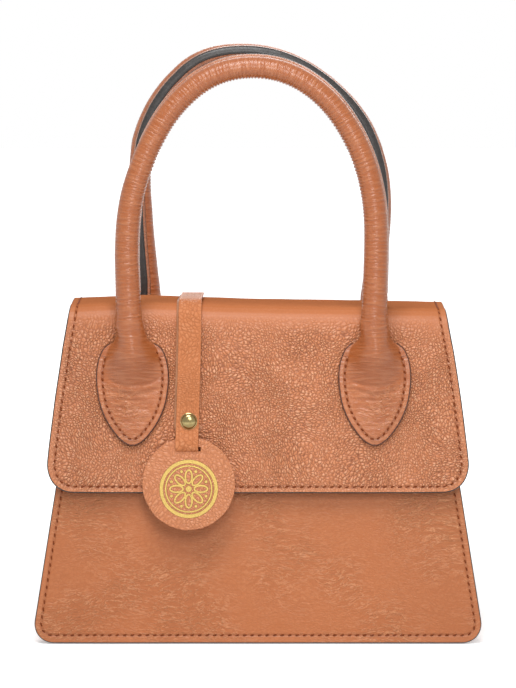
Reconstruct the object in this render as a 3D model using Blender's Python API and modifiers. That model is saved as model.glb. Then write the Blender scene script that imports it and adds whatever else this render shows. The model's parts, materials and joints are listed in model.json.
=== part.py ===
"""A small structured handbag with a full front flap and two rolled handles.

The body is two leather panels, leaning in towards the mouth, sewn to one gusset strip
whose edges turn outwards. The flap and the back panel are one leather that bends at the
top rear edge. Each rolled handle bends at its necks, where it opens into two sewn tabs.
A hang tag on a folded strap swings from the fold of the flap.

Metres, +Z up, +X to the right, the front faces -Y. The origin lies on the floor, under
the middle of the bag.
"""
import math

import bmesh
import bpy
from mathutils import Matrix, Vector

# Body
BASE_WIDTH = 0.2294
MOUTH_WIDTH = 0.1776
PANEL_HEIGHT = 0.163
BASE_DEPTH = 0.096
MOUTH_DEPTH = 0.0721
PANEL_CORNER_RADIUS = 0.011
PANEL_LEATHER = 0.0016
GUSSET_LEATHER = 0.0014
SEAM_WIDTH = 0.005
GUSSET_TOP_DROP = 0.003
PLEAT_DEPTH = 0.009
PLEAT_FOOT_HEIGHT = 0.060
BOARD_THICKNESS = 0.0012
BOARD_TOP_DROP = 0.012
LINING_THICKNESS = 0.0006
LINING_EASE = 0.0009
POCKET_WIDTH = 0.110
POCKET_HEIGHT = 0.070
POCKET_TOP_DROP = 0.040
POCKET_THICKNESS = 0.0008
POCKET_CORNER_RADIUS = 0.008

# Flap
HINGE_RISE = 0.0055
FOLD_RADIUS = 0.0082
FLAP_TOP_STANDOFF = 0.0025
FLAP_HEM_HEIGHT = 0.078
FLAP_TOP_WIDTH = 0.189
FLAP_HEM_WIDTH = 0.217
FLAP_CORNER_RADIUS = 0.015
FLAP_LEATHER = 0.0016
FLAP_LINING = 0.0008
FLAP_LINING_START = 0.003

# Magnetic closure
SNAP_HEIGHT = 0.098
SNAP_DIAMETER = 0.016
SOCKET_THICKNESS = 0.0020
SOCKET_RECESS_DIAMETER = 0.0075
SOCKET_RECESS_DEPTH = 0.0009
STUD_THICKNESS = 0.0012
STUD_BOSS_DIAMETER = 0.0050
STUD_BOSS_HEIGHT = 0.0008
SNAP_STEM_DIAMETER = 0.0034
SNAP_GAP = 0.0005
WASHER_DIAMETER = 0.015

# Rolled handles and their sewn tabs
LEG_SPACING = 0.122
LEG_HEIGHT = 0.054
HANDLE_RISE = 0.1384
FRONT_ARCH_WIDTH = 0.1244
REAR_ARCH_WIDTH = 0.1272
FRONT_ARCH_FULLNESS_SHARE = 2.06
REAR_ARCH_FULLNESS_SHARE = 2.2
FRONT_ARCH_LEAN = 0.0005
REAR_ARCH_LEAN = 0.0100
FRONT_HANDLE_SHIFT = -0.0022
REAR_HANDLE_SHIFT = 0.0010
NECK_DIAMETER = 0.0128
TOP_TUBE_DIAMETER = 0.0110
TUBE_WALL = 0.0013
SEAM_FIN_WIDTH = 0.0032
SEAM_FIN_HEIGHT = 0.0024
SEAM_FIN_START = 0.023
SEAM_TURN_DEGREES = 28
FRONT_NECK_HEIGHT = 0.1515
REAR_NECK_HEIGHT = 0.1593
TUBE_STANDOFF = 0.0006
TAB_LEATHER = 0.0018
TAB_LENGTH = 0.054
TAB_WIDTH = 0.0356
TAB_NECK_RISE = 0.004
TURN_ROOM = 0.0012
SWELL_LENGTH = 0.021
SWELL_WIDTH = 0.028

# Hang tag
TAG_OFFSET = -0.0348
STRAP_WIDTH = 0.0112
STRAP_LEATHER = 0.0010
STRAP_START = 0.012
STRAP_EASE = 0.0008
STRAP_EASE_LENGTH = 0.028
STRAP_BACK_SHIFT = 0.0014
RIVET_DROP = 0.0498
RIVET_DIAMETER = 0.0086
RIVET_DOME_HEIGHT = 0.0022
RIVET_RIM_HEIGHT = 0.0005
RIVET_STEM_DIAMETER = 0.0026
RIVET_BACK_DIAMETER = 0.0075
RIVET_BACK_THICKNESS = 0.0005
DISC_DIAMETER = 0.0466
DISC_LEATHER = 0.00095
DISC_DROP = 0.0811
DISC_ROOM = 0.0012
SLOT_DROP = 0.0624
SLOT_HEIGHT = 0.00275
SLOT_SIDE_ROOM = 0.0007

# Fits
SEAT = 0.0003
HOLE_ROOM = 0.0006
EDGE_ROUND = 0.0003
CUT_OVERRUN = 0.002

# How finely round things are divided
SIDE_STEPS = 9
CORNER_STEPS = 6
FOLD_STEPS = 8
TURN_STEPS = 24
HANDLE_POINTS = 44
WELD = 0.00001


# Where the walls of the body are

def side_slope():
    return (BASE_WIDTH - MOUTH_WIDTH) / 2 / PANEL_HEIGHT


def wall_slope():
    return (BASE_DEPTH - MOUTH_DEPTH) / 2 / PANEL_HEIGHT


def half_depth(height):
    """Distance from the middle of the bag to the outer face of either panel."""
    return BASE_DEPTH / 2 - wall_slope() * height


def corner_centre(inset):
    """Centre and radius of the lower right corner of a line drawn inside the panel's edge."""
    stretch = math.hypot(1, side_slope())
    radius = max(PANEL_CORNER_RADIUS - inset, PANEL_LEATHER)
    height = inset + radius
    across = BASE_WIDTH / 2 - side_slope() * height - (inset + radius) * stretch
    return across, height, radius


def side_across(height, inset):
    return BASE_WIDTH / 2 - side_slope() * height - inset * math.hypot(1, side_slope())


def side_heights(top):
    """Heights shared by everything that follows the leaning sides, from the top down."""
    foot = PANEL_CORNER_RADIUS * (1 + math.sin(math.atan(side_slope())))
    return [top + (foot - top) * step / SIDE_STEPS for step in range(SIDE_STEPS)]


def seam_path(inset, top):
    """Points (x, z) and outward normals down the right side, along the floor and up the left."""
    across, height, radius = corner_centre(inset)
    tilt = math.atan(side_slope())
    right = []
    for z in side_heights(top):
        right.append((side_across(z, inset), z, math.cos(tilt), math.sin(tilt)))
    for step in range(CORNER_STEPS + 1):
        angle = tilt - (tilt + math.pi / 2) * step / CORNER_STEPS
        nx, nz = math.cos(angle), math.sin(angle)
        right.append((across + radius * nx, height + radius * nz, nx, nz))
    middle = [(0, inset, 0, -1)]
    left = [(-x, z, -nx, nz) for x, z, nx, nz in reversed(right)]
    return right + middle + left


def panel_outline(inset, top):
    return [(x, z) for x, z, nx, nz in seam_path(inset, top) if x != 0]


# Where the flap is. Its leather is followed by the length along its middle, from the hinge.

def hinge_point():
    across = half_depth(PANEL_HEIGHT + HINGE_RISE) - PANEL_LEATHER / 2
    return Vector((0, across, PANEL_HEIGHT + HINGE_RISE))


def closure_stack():
    return SOCKET_THICKNESS + STUD_THICKNESS + SNAP_GAP + SEAT * 2


def flap_front_line():
    """Where the straight front of the flap starts, and its direction down."""
    build_up = FLAP_LINING + SEAT + FLAP_LEATHER / 2
    start = Vector((0, -(half_depth(PANEL_HEIGHT) + FLAP_TOP_STANDOFF + build_up), PANEL_HEIGHT))
    at_snap = Vector((0, -(half_depth(SNAP_HEIGHT) + closure_stack() + build_up), SNAP_HEIGHT))
    return start, (at_snap - start).normalized()


def outward(direction):
    """Normal on the left hand of a direction in the YZ plane, which is outwards on the flap."""
    return Vector((0, direction.z, -direction.y))


def flap_arc():
    start, down = flap_front_line()
    centre = start - outward(down) * FOLD_RADIUS
    to_hinge = hinge_point() - centre
    angle_start = math.atan2(to_hinge.z, to_hinge.y) + math.acos(FOLD_RADIUS / to_hinge.length)
    out = outward(down)
    angle_end = math.atan2(out.z, out.y) % (2 * math.pi)
    return centre, angle_start, angle_end


def flap_lengths():
    """Length along the flap at the start of the fold, at its end and at the hem."""
    centre, angle_start, angle_end = flap_arc()
    first = centre + Vector((0, math.cos(angle_start), math.sin(angle_start))) * FOLD_RADIUS
    start, down = flap_front_line()
    top = (first - hinge_point()).length
    fold = top + FOLD_RADIUS * (angle_end - angle_start)
    hem = fold + (PANEL_HEIGHT - FLAP_HEM_HEIGHT) / -down.z
    return top, fold, hem


def flap_point(length, offset):
    """Point at a length along the flap, set off from the middle of its leather."""
    top, fold, hem = flap_lengths()
    centre, angle_start, angle_end = flap_arc()
    if length <= top:
        first = centre + Vector((0, math.cos(angle_start), math.sin(angle_start))) * FOLD_RADIUS
        along = (first - hinge_point()).normalized()
        return hinge_point() + along * length + outward(along) * offset
    if length <= fold:
        angle = angle_start + (length - top) / FOLD_RADIUS
        return centre + Vector((0, math.cos(angle), math.sin(angle))) * (FOLD_RADIUS + offset)
    start, down = flap_front_line()
    return start + down * (length - fold) + outward(down) * offset


def front_point(drop, standoff):
    """Point in front of the flap: a drop below the fold's end and a standoff from its face."""
    start, down = flap_front_line()
    return start + down * drop + outward(down) * (FLAP_LEATHER / 2 + standoff)


def flap_half_width(length):
    top, fold, hem = flap_lengths()
    if length <= fold:
        return FLAP_TOP_WIDTH / 2
    slope = (FLAP_HEM_WIDTH - FLAP_TOP_WIDTH) / 2 / (hem - fold)
    stretch = math.hypot(1, slope)
    centre_length = hem - FLAP_CORNER_RADIUS
    side = FLAP_TOP_WIDTH / 2 + slope * (length - fold)
    if length <= centre_length - FLAP_CORNER_RADIUS * slope / stretch:
        return side
    centre_across = (FLAP_TOP_WIDTH / 2 + slope * (centre_length - fold)
                     - FLAP_CORNER_RADIUS * stretch)
    reach = FLAP_CORNER_RADIUS ** 2 - (length - centre_length) ** 2
    return centre_across + math.sqrt(max(reach, 0))


def flap_stations(first_length):
    """Lengths of the rows that a flap layer is drawn with, closer at the fold and the corners."""
    top, fold, hem = flap_lengths()
    straight = [first_length + (top - first_length) * step / 4 for step in range(4)]
    bend = [top + (fold - top) * step / FOLD_STEPS for step in range(FOLD_STEPS)]
    corner = hem - FLAP_CORNER_RADIUS
    front = [fold + (corner - fold) * step / 4 for step in range(4)]
    quarter = math.pi / 2
    turn = [corner + FLAP_CORNER_RADIUS * math.sin(quarter * step / CORNER_STEPS)
            for step in range(CORNER_STEPS + 1)]
    return straight + bend + front + turn


# Making objects

def new_collection(name):
    collection = bpy.data.collections.new(name)
    bpy.context.scene.collection.children.link(collection)
    return collection


def material(name, colour, roughness, metallic=0.0):
    made = bpy.data.materials.new(name)
    made.use_nodes = True
    shader = made.node_tree.nodes["Principled BSDF"]
    shader.inputs["Base Color"].default_value = (*colour, 1)
    shader.inputs["Roughness"].default_value = roughness
    shader.inputs["Metallic"].default_value = metallic
    made.diffuse_color = (*colour, 1)
    return made


def place(name, mesh, collection, finish=None, parent=None):
    made = bpy.data.objects.new(name, mesh)
    collection.objects.link(made)
    if finish is not None:
        mesh.materials.clear()
        mesh.materials.append(finish)
    if parent is not None:
        made.parent = parent
        made.matrix_parent_inverse = Matrix.Translation(parent.location).inverted()
    return made


def as_cutter(piece):
    piece.hide_render = True
    piece.display_type = "WIRE"
    return piece


def sheet_from_rows(name, rows, closed=False):
    """A quad surface through rows of points, open at its ends."""
    mesh = bpy.data.meshes.new(name)
    shape = bmesh.new()
    grid = [[shape.verts.new(point) for point in row] for row in rows]
    for upper, lower in zip(grid, grid[1:]):
        count = len(upper)
        for step in range(count if closed else count - 1):
            after = (step + 1) % count
            shape.faces.new((upper[step], lower[step], lower[after], upper[after]))
    shape.to_mesh(mesh)
    shape.free()
    return mesh


def thicken(piece, thickness):
    solid = piece.modifiers.new("thickness", "SOLIDIFY")
    solid.thickness = thickness
    solid.offset = 0
    solid.use_even_offset = True
    return piece


def cut(piece, cutter, operation="DIFFERENCE"):
    step = piece.modifiers.new(operation.lower(), "BOOLEAN")
    step.operation = operation
    step.object = cutter
    return piece


def mesh_of_curve(curve, scene_objects):
    """The closed mesh of a curve, with its loose caps welded."""
    holder = bpy.data.objects.new(curve.name, curve)
    scene_objects.objects.link(holder)
    evaluated = holder.evaluated_get(bpy.context.evaluated_depsgraph_get())
    mesh = bpy.data.meshes.new_from_object(evaluated)
    bpy.data.objects.remove(holder)
    shape = bmesh.new()
    shape.from_mesh(mesh)
    bmesh.ops.remove_doubles(shape, verts=shape.verts, dist=WELD)
    bmesh.ops.recalc_face_normals(shape, faces=shape.faces)
    shape.to_mesh(mesh)
    shape.free()
    return mesh


def flat_mesh(name, outlines, thickness, collection, edge=EDGE_ROUND):
    """A flat piece in the XY plane with rounded edges, from an outline and any holes in it."""
    curve = bpy.data.curves.new(name, "CURVE")
    curve.dimensions = "2D"
    curve.fill_mode = "BOTH"
    curve.extrude = thickness / 2 - edge
    curve.bevel_depth = edge
    curve.bevel_resolution = 0
    curve.offset = -edge
    for outline in outlines:
        spline = curve.splines.new("POLY")
        spline.points.add(len(outline) - 1)
        for point, (x, y) in zip(spline.points, outline):
            point.co = (x, y, 0, 1)
        spline.use_cyclic_u = True
    return mesh_of_curve(curve, collection)


def stand_on_wall(mesh, side, depth):
    """Stands a flat piece up along the front (-1) or back (+1) wall, depth inside its face."""
    for vertex in mesh.vertices:
        x, up, across = vertex.co
        vertex.co = (x, side * (half_depth(up) - depth) - across, up)
    return mesh


def turned_mesh(name, profile):
    """The half outline of a turned piece, from the top of its axis to the bottom, or a ring."""
    mesh = bpy.data.meshes.new(name)
    count = len(profile)
    ring = profile[0][0] > 0
    edges = [(step, (step + 1) % count) for step in range(count if ring else count - 1)]
    mesh.from_pydata([(radius, 0, height) for radius, height in profile], edges, [])
    return mesh


def turn(piece):
    screw = piece.modifiers.new("turn", "SCREW")
    screw.axis = "Z"
    screw.angle = 2 * math.pi
    screw.steps = TURN_STEPS
    screw.render_steps = TURN_STEPS
    screw.use_merge_vertices = True
    screw.merge_threshold = WELD
    screw.use_smooth_shade = True
    return piece


def aim(piece, point, direction):
    """Puts a turned piece at a point with its top towards a direction."""
    turning = Vector((0, 0, 1)).rotation_difference(direction).to_matrix().to_4x4()
    piece.matrix_basis = Matrix.Translation(point) @ turning
    return piece


def round_cutter(name, point, direction, diameter, length, collection):
    """A cylinder whose middle is at a point."""
    bpy.ops.mesh.primitive_cylinder_add(vertices=TURN_STEPS, radius=diameter / 2, depth=length)
    made = bpy.context.object
    made.name = name
    for owner in list(made.users_collection):
        owner.objects.unlink(made)
    collection.objects.link(made)
    return as_cutter(aim(made, point, direction))


def smooth(piece, angle_degrees=40):
    piece.data.shade_smooth()
    piece.data.set_sharp_from_angle(angle=math.radians(angle_degrees))
    return piece


# The body

def wall_normal(side):
    return Vector((0, side, wall_slope())).normalized()


def socket_seat():
    """Where the magnetic socket sits on the front panel."""
    seat = Vector((0, -half_depth(SNAP_HEIGHT), SNAP_HEIGHT))
    return seat + wall_normal(-1) * SEAT


def make_panels(parts, cutters, leather):
    outline = panel_outline(0, PANEL_HEIGHT)
    front = flat_mesh("front_panel", [outline], PANEL_LEATHER, parts)
    front = place("front_panel", stand_on_wall(front, -1, PANEL_LEATHER / 2), parts, leather)
    hole = round_cutter("socket_hole", socket_seat(), wall_normal(-1),
                        SNAP_STEM_DIAMETER + HOLE_ROOM, PANEL_LEATHER * 2 + CUT_OVERRUN, cutters)
    cut(front, hole)
    back_top = hinge_point().z - FLAP_LEATHER / 2 - SEAT
    outline = panel_outline(0, back_top)
    back = flat_mesh("back_panel", [outline], PANEL_LEATHER, parts)
    place("back_panel", stand_on_wall(back, 1, PANEL_LEATHER / 2), parts, leather)


def pleat_depth(height):
    """How far the side of the gusset folds in, from nothing at the pleat's foot to the top."""
    share = (height - PLEAT_FOOT_HEIGHT) / (gusset_top() - PLEAT_FOOT_HEIGHT)
    share = min(max(share, 0), 1)
    return PLEAT_DEPTH * share * share * (3 - 2 * share)


def gusset_top():
    return PANEL_HEIGHT - GUSSET_TOP_DROP


def flange_middle(height):
    return half_depth(height) - PANEL_LEATHER - SEAT - GUSSET_LEATHER / 2


def make_gusset(parts, leather):
    """One strip down a side, along the bottom and up the other, its edges turned outwards."""
    rows = []
    reach = SEAM_WIDTH - SEAT
    for x, z, nx, nz in seam_path(SEAM_WIDTH, gusset_top()):
        depth = flange_middle(z)
        fold = math.copysign(pleat_depth(z), x)
        edge = flange_middle(z + nz * reach)
        rows.append([(x + nx * reach, -edge, z + nz * reach), (x, -depth, z),
                     (x - fold / 2, -depth / 2, z), (x - fold, 0, z),
                     (x - fold / 2, depth / 2, z), (x, depth, z),
                     (x + nx * reach, edge, z + nz * reach)])
    made = place("gusset", sheet_from_rows("gusset", rows), parts, leather)
    thicken(made, GUSSET_LEATHER)


def board_inset():
    return SEAM_WIDTH + GUSSET_LEATHER / 2 + SEAT


def inner_face_depth():
    """From the outer face of a panel to the inner face of the board behind it."""
    return PANEL_LEATHER + SEAT + BOARD_THICKNESS


def make_boards(parts, cutters, card):
    """The stiff boards between leather and lining, in the front, the back and the base."""
    outline = panel_outline(board_inset(), PANEL_HEIGHT - BOARD_TOP_DROP)
    depth = PANEL_LEATHER + SEAT + BOARD_THICKNESS / 2
    front = flat_mesh("front_board", [outline], BOARD_THICKNESS, parts)
    front = place("front_board", stand_on_wall(front, -1, depth), parts, card)
    hole = round_cutter("washer_hole", socket_seat() - wall_normal(-1) * depth, wall_normal(-1),
                        WASHER_DIAMETER + HOLE_ROOM, BOARD_THICKNESS + CUT_OVERRUN, cutters)
    cut(front, hole)
    back = flat_mesh("back_board", [outline], BOARD_THICKNESS, parts)
    place("back_board", stand_on_wall(back, 1, depth), parts, card)
    base_low = SEAM_WIDTH + GUSSET_LEATHER / 2 + SEAT
    length = corner_centre(board_inset())[0]
    reach = half_depth(base_low + BOARD_THICKNESS) - inner_face_depth() - SEAT
    outline = [(-length, -reach), (length, -reach), (length, reach), (-length, reach)]
    base = flat_mesh("base_board", [outline], BOARD_THICKNESS, parts)
    base.transform(Matrix.Translation((0, 0, base_low + BOARD_THICKNESS / 2)))
    place("base_board", base, parts, card)


def lining_middle_depth():
    return inner_face_depth() + SEAT + LINING_THICKNESS / 2


def lining_across(height, depth):
    """Half the length of the lining at a height, where it lies beside the gusset's fold."""
    inset = SEAM_WIDTH + (GUSSET_LEATHER + LINING_THICKNESS) / 2 + LINING_EASE
    across, centre, radius = corner_centre(inset)
    fold = pleat_depth(height) * (1 - depth / flange_middle(height))
    if height > centre:
        return side_across(height, inset) - fold
    return across + math.sqrt(max(radius ** 2 - (centre - height) ** 2, 0))


def make_lining(parts, cloth):
    """The fabric bag inside, open at the mouth, creased where the gusset folds in."""
    floor = SEAM_WIDTH + GUSSET_LEATHER / 2 + SEAT * 2 + BOARD_THICKNESS + LINING_THICKNESS / 2
    corner = corner_centre(SEAM_WIDTH)[1]
    heights = [floor, (floor + corner) / 2, corner] + side_heights(gusset_top())[::-1]
    rings = []
    for z in heights:
        depth = half_depth(z) - lining_middle_depth()
        places = [-depth, -flange_middle(z) / 2, 0, flange_middle(z) / 2, depth]
        right = [(lining_across(z, abs(y)), y, z) for y in places]
        rings.append(right + [(-x, y, z) for x, y, z in reversed(right)])
    mesh = sheet_from_rows("lining", rings, closed=True)
    shape = bmesh.new()
    shape.from_mesh(mesh)
    shape.verts.ensure_lookup_table()
    shape.faces.new([shape.verts[step] for step in range(len(rings[0]))])
    bmesh.ops.recalc_face_normals(shape, faces=shape.faces)
    shape.to_mesh(mesh)
    shape.free()
    thicken(place("lining", mesh, parts, cloth), LINING_THICKNESS)


def make_pocket(parts, cloth):
    """The slip pocket sewn to the lining of the back wall."""
    high = PANEL_HEIGHT - POCKET_TOP_DROP
    low = high - POCKET_HEIGHT
    outline = [(-POCKET_WIDTH / 2, high)]
    for sign in (-1, 1):
        for step in range(CORNER_STEPS + 1):
            angle = math.pi / 2 * step / CORNER_STEPS
            if sign > 0:
                angle = math.pi / 2 - angle
            across = POCKET_WIDTH / 2 - POCKET_CORNER_RADIUS * (1 - math.cos(angle))
            outline.append((sign * across,
                            low + POCKET_CORNER_RADIUS * (1 - math.sin(angle))))
    outline.append((POCKET_WIDTH / 2, high))
    depth = lining_middle_depth() + LINING_THICKNESS / 2 + SEAT + POCKET_THICKNESS / 2
    mesh = flat_mesh("inner_pocket", [outline], POCKET_THICKNESS, parts)
    place("inner_pocket", stand_on_wall(mesh, 1, depth), parts, cloth)


# The magnetic closure

def make_socket(parts, brass):
    """The female half, riveted through the front panel to a washer in its board."""
    out = wall_normal(-1)
    stem = SNAP_STEM_DIAMETER / 2
    recess = SOCKET_RECESS_DIAMETER / 2
    low = SOCKET_THICKNESS - SOCKET_RECESS_DEPTH
    rim = SNAP_DIAMETER / 2
    chamfer = EDGE_ROUND
    stem_length = SEAT + inner_face_depth()
    profile = [(0, low), (recess, low), (recess, SOCKET_THICKNESS),
               (rim - chamfer, SOCKET_THICKNESS), (rim, SOCKET_THICKNESS - chamfer), (rim, 0),
               (stem, 0), (stem, -stem_length), (0, -stem_length)]
    socket = place("snap_socket", turned_mesh("snap_socket", profile), parts, brass)
    aim(turn(socket), socket_seat(), out)
    hole = (SNAP_STEM_DIAMETER + HOLE_ROOM) / 2
    ring = [(hole, BOARD_THICKNESS), (WASHER_DIAMETER / 2, BOARD_THICKNESS),
            (WASHER_DIAMETER / 2, 0), (hole, 0)]
    washer = place("snap_washer", turned_mesh("snap_washer", ring), parts, brass)
    aim(turn(washer), socket_seat() - out * stem_length, out)


def stud_seat():
    """Where the stud sits on the inner face of the flap, opposite the socket."""
    start, down = flap_front_line()
    face = socket_seat() + wall_normal(-1) * SOCKET_THICKNESS
    drop = (face - start).dot(down)
    return start + down * drop - outward(down) * (FLAP_LEATHER / 2 + FLAP_LINING + SEAT * 2)


def make_stud(parts, brass, parent):
    """The male half, riveted through the flap's lining."""
    start, down = flap_front_line()
    stem = SNAP_STEM_DIAMETER / 2
    boss = STUD_BOSS_DIAMETER / 2
    rim = SNAP_DIAMETER / 2
    chamfer = EDGE_ROUND
    high = STUD_THICKNESS + STUD_BOSS_HEIGHT
    stem_length = FLAP_LINING + SEAT
    profile = [(0, high), (boss - chamfer, high), (boss, high - chamfer), (boss, STUD_THICKNESS),
               (rim - chamfer, STUD_THICKNESS), (rim, STUD_THICKNESS - chamfer), (rim, 0),
               (stem, 0), (stem, -stem_length), (0, -stem_length)]
    stud = place("snap_stud", turned_mesh("snap_stud", profile), parts, brass, parent)
    aim(turn(stud), stud_seat(), -outward(down))


# The flap

def make_flap_layer(name, offset, first_length, thickness, parts, finish, parent):
    rows = []
    columns = 4
    for length in flap_stations(first_length):
        half = flap_half_width(length)
        point = flap_point(length, offset)
        rows.append([(half * (2 * step / columns - 1), point.y, point.z)
                     for step in range(columns + 1)])
    layer = place(name, sheet_from_rows(name, rows), parts, finish, parent)
    return thicken(smooth(layer), thickness)


def make_flap(parts, cutters, leather, cloth, parent):
    make_flap_layer("flap", 0, 0, FLAP_LEATHER, parts, leather, parent)
    inside = -(FLAP_LEATHER / 2 + SEAT + FLAP_LINING / 2)
    lining = make_flap_layer("flap_lining", inside, FLAP_LINING_START, FLAP_LINING, parts,
                             cloth, parent)
    start, down = flap_front_line()
    hole = round_cutter("stud_hole", stud_seat(), outward(down),
                        SNAP_STEM_DIAMETER + HOLE_ROOM, FLAP_LINING + CUT_OVERRUN, cutters)
    cut(lining, hole)


# The sewn tabs, one shape used four times. The outline widens below the neck and closes in
# a rounded point: the half widths and drops are shares of the tab's width and length.

TAB_OUTLINE_SHARES = [(0.0, 0.36), (0.06, 0.58), (0.13, 0.79), (0.21, 0.91), (0.28, 0.965),
                      (0.36, 1.0), (0.43, 1.0), (0.51, 0.977), (0.58, 0.943), (0.65, 0.88),
                      (0.73, 0.79), (0.80, 0.67), (0.87, 0.52), (0.93, 0.36), (0.975, 0.21),
                      (1.0, 0.08)]
SEAT_ROW_SHARES = (0.0, 0.45, 0.75, 0.93, 1.0)
TIP_ROW_SHARES = (0.25, 0.48, 0.68, 0.84, 0.94, 1.0)
SWELL_COLUMN_SHARES = (0.0, 0.42, 0.74, 0.93, 1.0)
SWELL_EDGE_SHARE = 0.86


def tab_half_width(drop):
    share = min(max(drop / TAB_LENGTH, 0), 1)
    for (low, width_low), (high, width_high) in zip(TAB_OUTLINE_SHARES, TAB_OUTLINE_SHARES[1:]):
        if share <= high:
            between = (share - low) / (high - low)
            return (width_low + (width_high - width_low) * between) * TAB_WIDTH / 2
    return TAB_OUTLINE_SHARES[-1][1] * TAB_WIDTH / 2


def neck_standoff():
    """From the face of the tab to the middle of the handle's rounded end."""
    return TUBE_STANDOFF + NECK_DIAMETER / 2


def seat_radius():
    """The hollow that the handle's rounded end turns in."""
    return NECK_DIAMETER / 2 + SEAT


def swell_start():
    """Where the swelling is fullest, clear of the handle when that is folded down over it."""
    return TAB_NECK_RISE + seat_radius() + TURN_ROOM


def swell_share(drop):
    """How far down the swelling a place on the tab is: 0 at the handle's end, 1 where it ends."""
    return min(max((drop - swell_start()) / SWELL_LENGTH, 0), 1)


def swell_half_width(drop):
    widening = math.sin(math.pi / 2 * swell_share(drop))
    half = seat_radius() + (SWELL_WIDTH / 2 - seat_radius()) * widening
    return min(half, tab_half_width(drop) * SWELL_EDGE_SHARE)


def tab_height(drop, across):
    """Height of the tab over its back: flat leather, a seat for the handle and a swelling."""
    below = drop - TAB_NECK_RISE
    side = max(1 - (across / swell_half_width(drop)) ** 2, 0)
    if below <= 0:
        return TAB_LEATHER
    if drop < swell_start():
        nest = neck_standoff() - math.sqrt(max(seat_radius() ** 2 - below ** 2, 0))
        return TAB_LEATHER + max(nest, 0) * math.sqrt(side)
    share = swell_share(drop)
    crown = (neck_standoff() + NECK_DIAMETER / 2) * (1 + math.cos(math.pi * share)) / 2
    return TAB_LEATHER + crown * side ** ((1 + share) / 2)


def tab_columns(drop):
    """Places across the tab: close together over the swelling's round shoulders."""
    swell, half = swell_half_width(drop), tab_half_width(drop)
    right = [swell * share for share in SWELL_COLUMN_SHARES] + [(swell + half) / 2, half]
    return [-x for x in reversed(right[1:])] + right


def tab_drops():
    """Where the rows of a tab lie, closer together at the end of the handle's seat."""
    rows = [0, TAB_NECK_RISE / 2]
    rows += [TAB_NECK_RISE + seat_radius() * share for share in SEAT_ROW_SHARES]
    rows += [swell_start() + SWELL_LENGTH * step / 7 for step in range(8)]
    left = TAB_LENGTH - rows[-1]
    rows += [rows[-1] + left * share for share in TIP_ROW_SHARES]
    return rows


def tab_mesh(name):
    """A closed block: the shaped face over a flat back. X across, Y down the tab, Z out."""
    rows = []
    for drop in tab_drops():
        rows.append([(x, drop, tab_height(drop, x)) for x in tab_columns(drop)])
    columns = len(rows[0]) - 1
    mesh = bpy.data.meshes.new(name)
    shape = bmesh.new()
    top = [[shape.verts.new(point) for point in row] for row in rows]
    for upper, lower in zip(top, top[1:]):
        for step in range(columns):
            shape.faces.new((upper[step], upper[step + 1], lower[step + 1], lower[step]))
    rim = top[0] + [row[-1] for row in top[1:-1]] + top[-1][::-1]
    rim += [row[0] for row in reversed(top[1:-1])]
    foot = [shape.verts.new((vertex.co.x, vertex.co.y, 0)) for vertex in rim]
    for step in range(len(rim)):
        after = (step + 1) % len(rim)
        shape.faces.new((rim[step], rim[after], foot[after], foot[step]))
    shape.faces.new(foot)
    bmesh.ops.recalc_face_normals(shape, faces=shape.faces)
    shape.to_mesh(mesh)
    shape.free()
    return mesh


def tab_frame(side):
    """Base point level with the neck, direction down and direction out, front or back."""
    if side < 0:
        start, down = flap_front_line()
        drop = (PANEL_HEIGHT - FRONT_NECK_HEIGHT) / -down.z
        out = outward(down)
        return start + down * drop + out * (FLAP_LEATHER / 2 + SEAT), down, out
    out = wall_normal(1)
    down = Vector((0, out.z, -out.y))
    face = Vector((0, half_depth(REAR_NECK_HEIGHT), REAR_NECK_HEIGHT))
    return face + out * SEAT, down, out


def neck_point(side):
    """The axis that a handle folds about, in the middle of its rounded ends."""
    base, down, out = tab_frame(side)
    return base + out * (TAB_LEATHER + neck_standoff())


def make_tabs(names, side, shift, parts, leather, parent):
    base, down, out = tab_frame(side)
    across = Vector(down).cross(out)
    for name, sign in zip(names, (-1, 1)):
        corner = base - down * TAB_NECK_RISE + Vector((sign * LEG_SPACING / 2 + shift, 0, 0))
        tab = place(name, tab_mesh(name), parts, leather, parent)
        frame = Matrix((across, down, out)).transposed().to_4x4()
        tab.data.transform(Matrix.Translation(corner) @ frame)
        smooth(tab)


# The rolled handles

def smooth_share(value):
    value = min(max(value, 0), 1)
    return value * value * (3 - 2 * value)


def handle_line(arch_width, fullness, lean):
    """Evenly spaced points (x, rise) from the left neck over the arch to the right neck."""
    fine = 200
    arch_rise = HANDLE_RISE - LEG_HEIGHT
    points = []
    for step in range(fine):
        rise = LEG_HEIGHT * step / fine
        half = LEG_SPACING / 2 + (arch_width - LEG_SPACING) / 2 * smooth_share(rise / LEG_HEIGHT)
        points.append((-half, rise))
    for step in range(fine + 1):
        angle = math.pi / 2 * step / fine
        across = arch_width / 2 * math.cos(angle) ** (2 / fullness)
        points.append((-across, LEG_HEIGHT + arch_rise * math.sin(angle) ** (2 / fullness)))
    points += [(-x, rise) for x, rise in reversed(points[:-1])]
    points = [(x - lean * (rise / HANDLE_RISE) ** 4, rise) for x, rise in points]
    lengths = [0]
    for (x, rise), (next_x, next_rise) in zip(points, points[1:]):
        lengths.append(lengths[-1] + math.hypot(next_x - x, next_rise - rise))
    line = []
    seek = 0
    for step in range(HANDLE_POINTS + 1):
        target = lengths[-1] * step / HANDLE_POINTS
        while lengths[seek + 1] < target and seek < len(lengths) - 2:
            seek += 1
        between = (target - lengths[seek]) / (lengths[seek + 1] - lengths[seek])
        x = points[seek][0] + (points[seek + 1][0] - points[seek][0]) * between
        rise = points[seek][1] + (points[seek + 1][1] - points[seek][1]) * between
        line.append((x, rise))
    return line


def tube_radius(rise):
    return (NECK_DIAMETER + (TOP_TUBE_DIAMETER - NECK_DIAMETER) * rise / HANDLE_RISE) / 2


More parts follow.
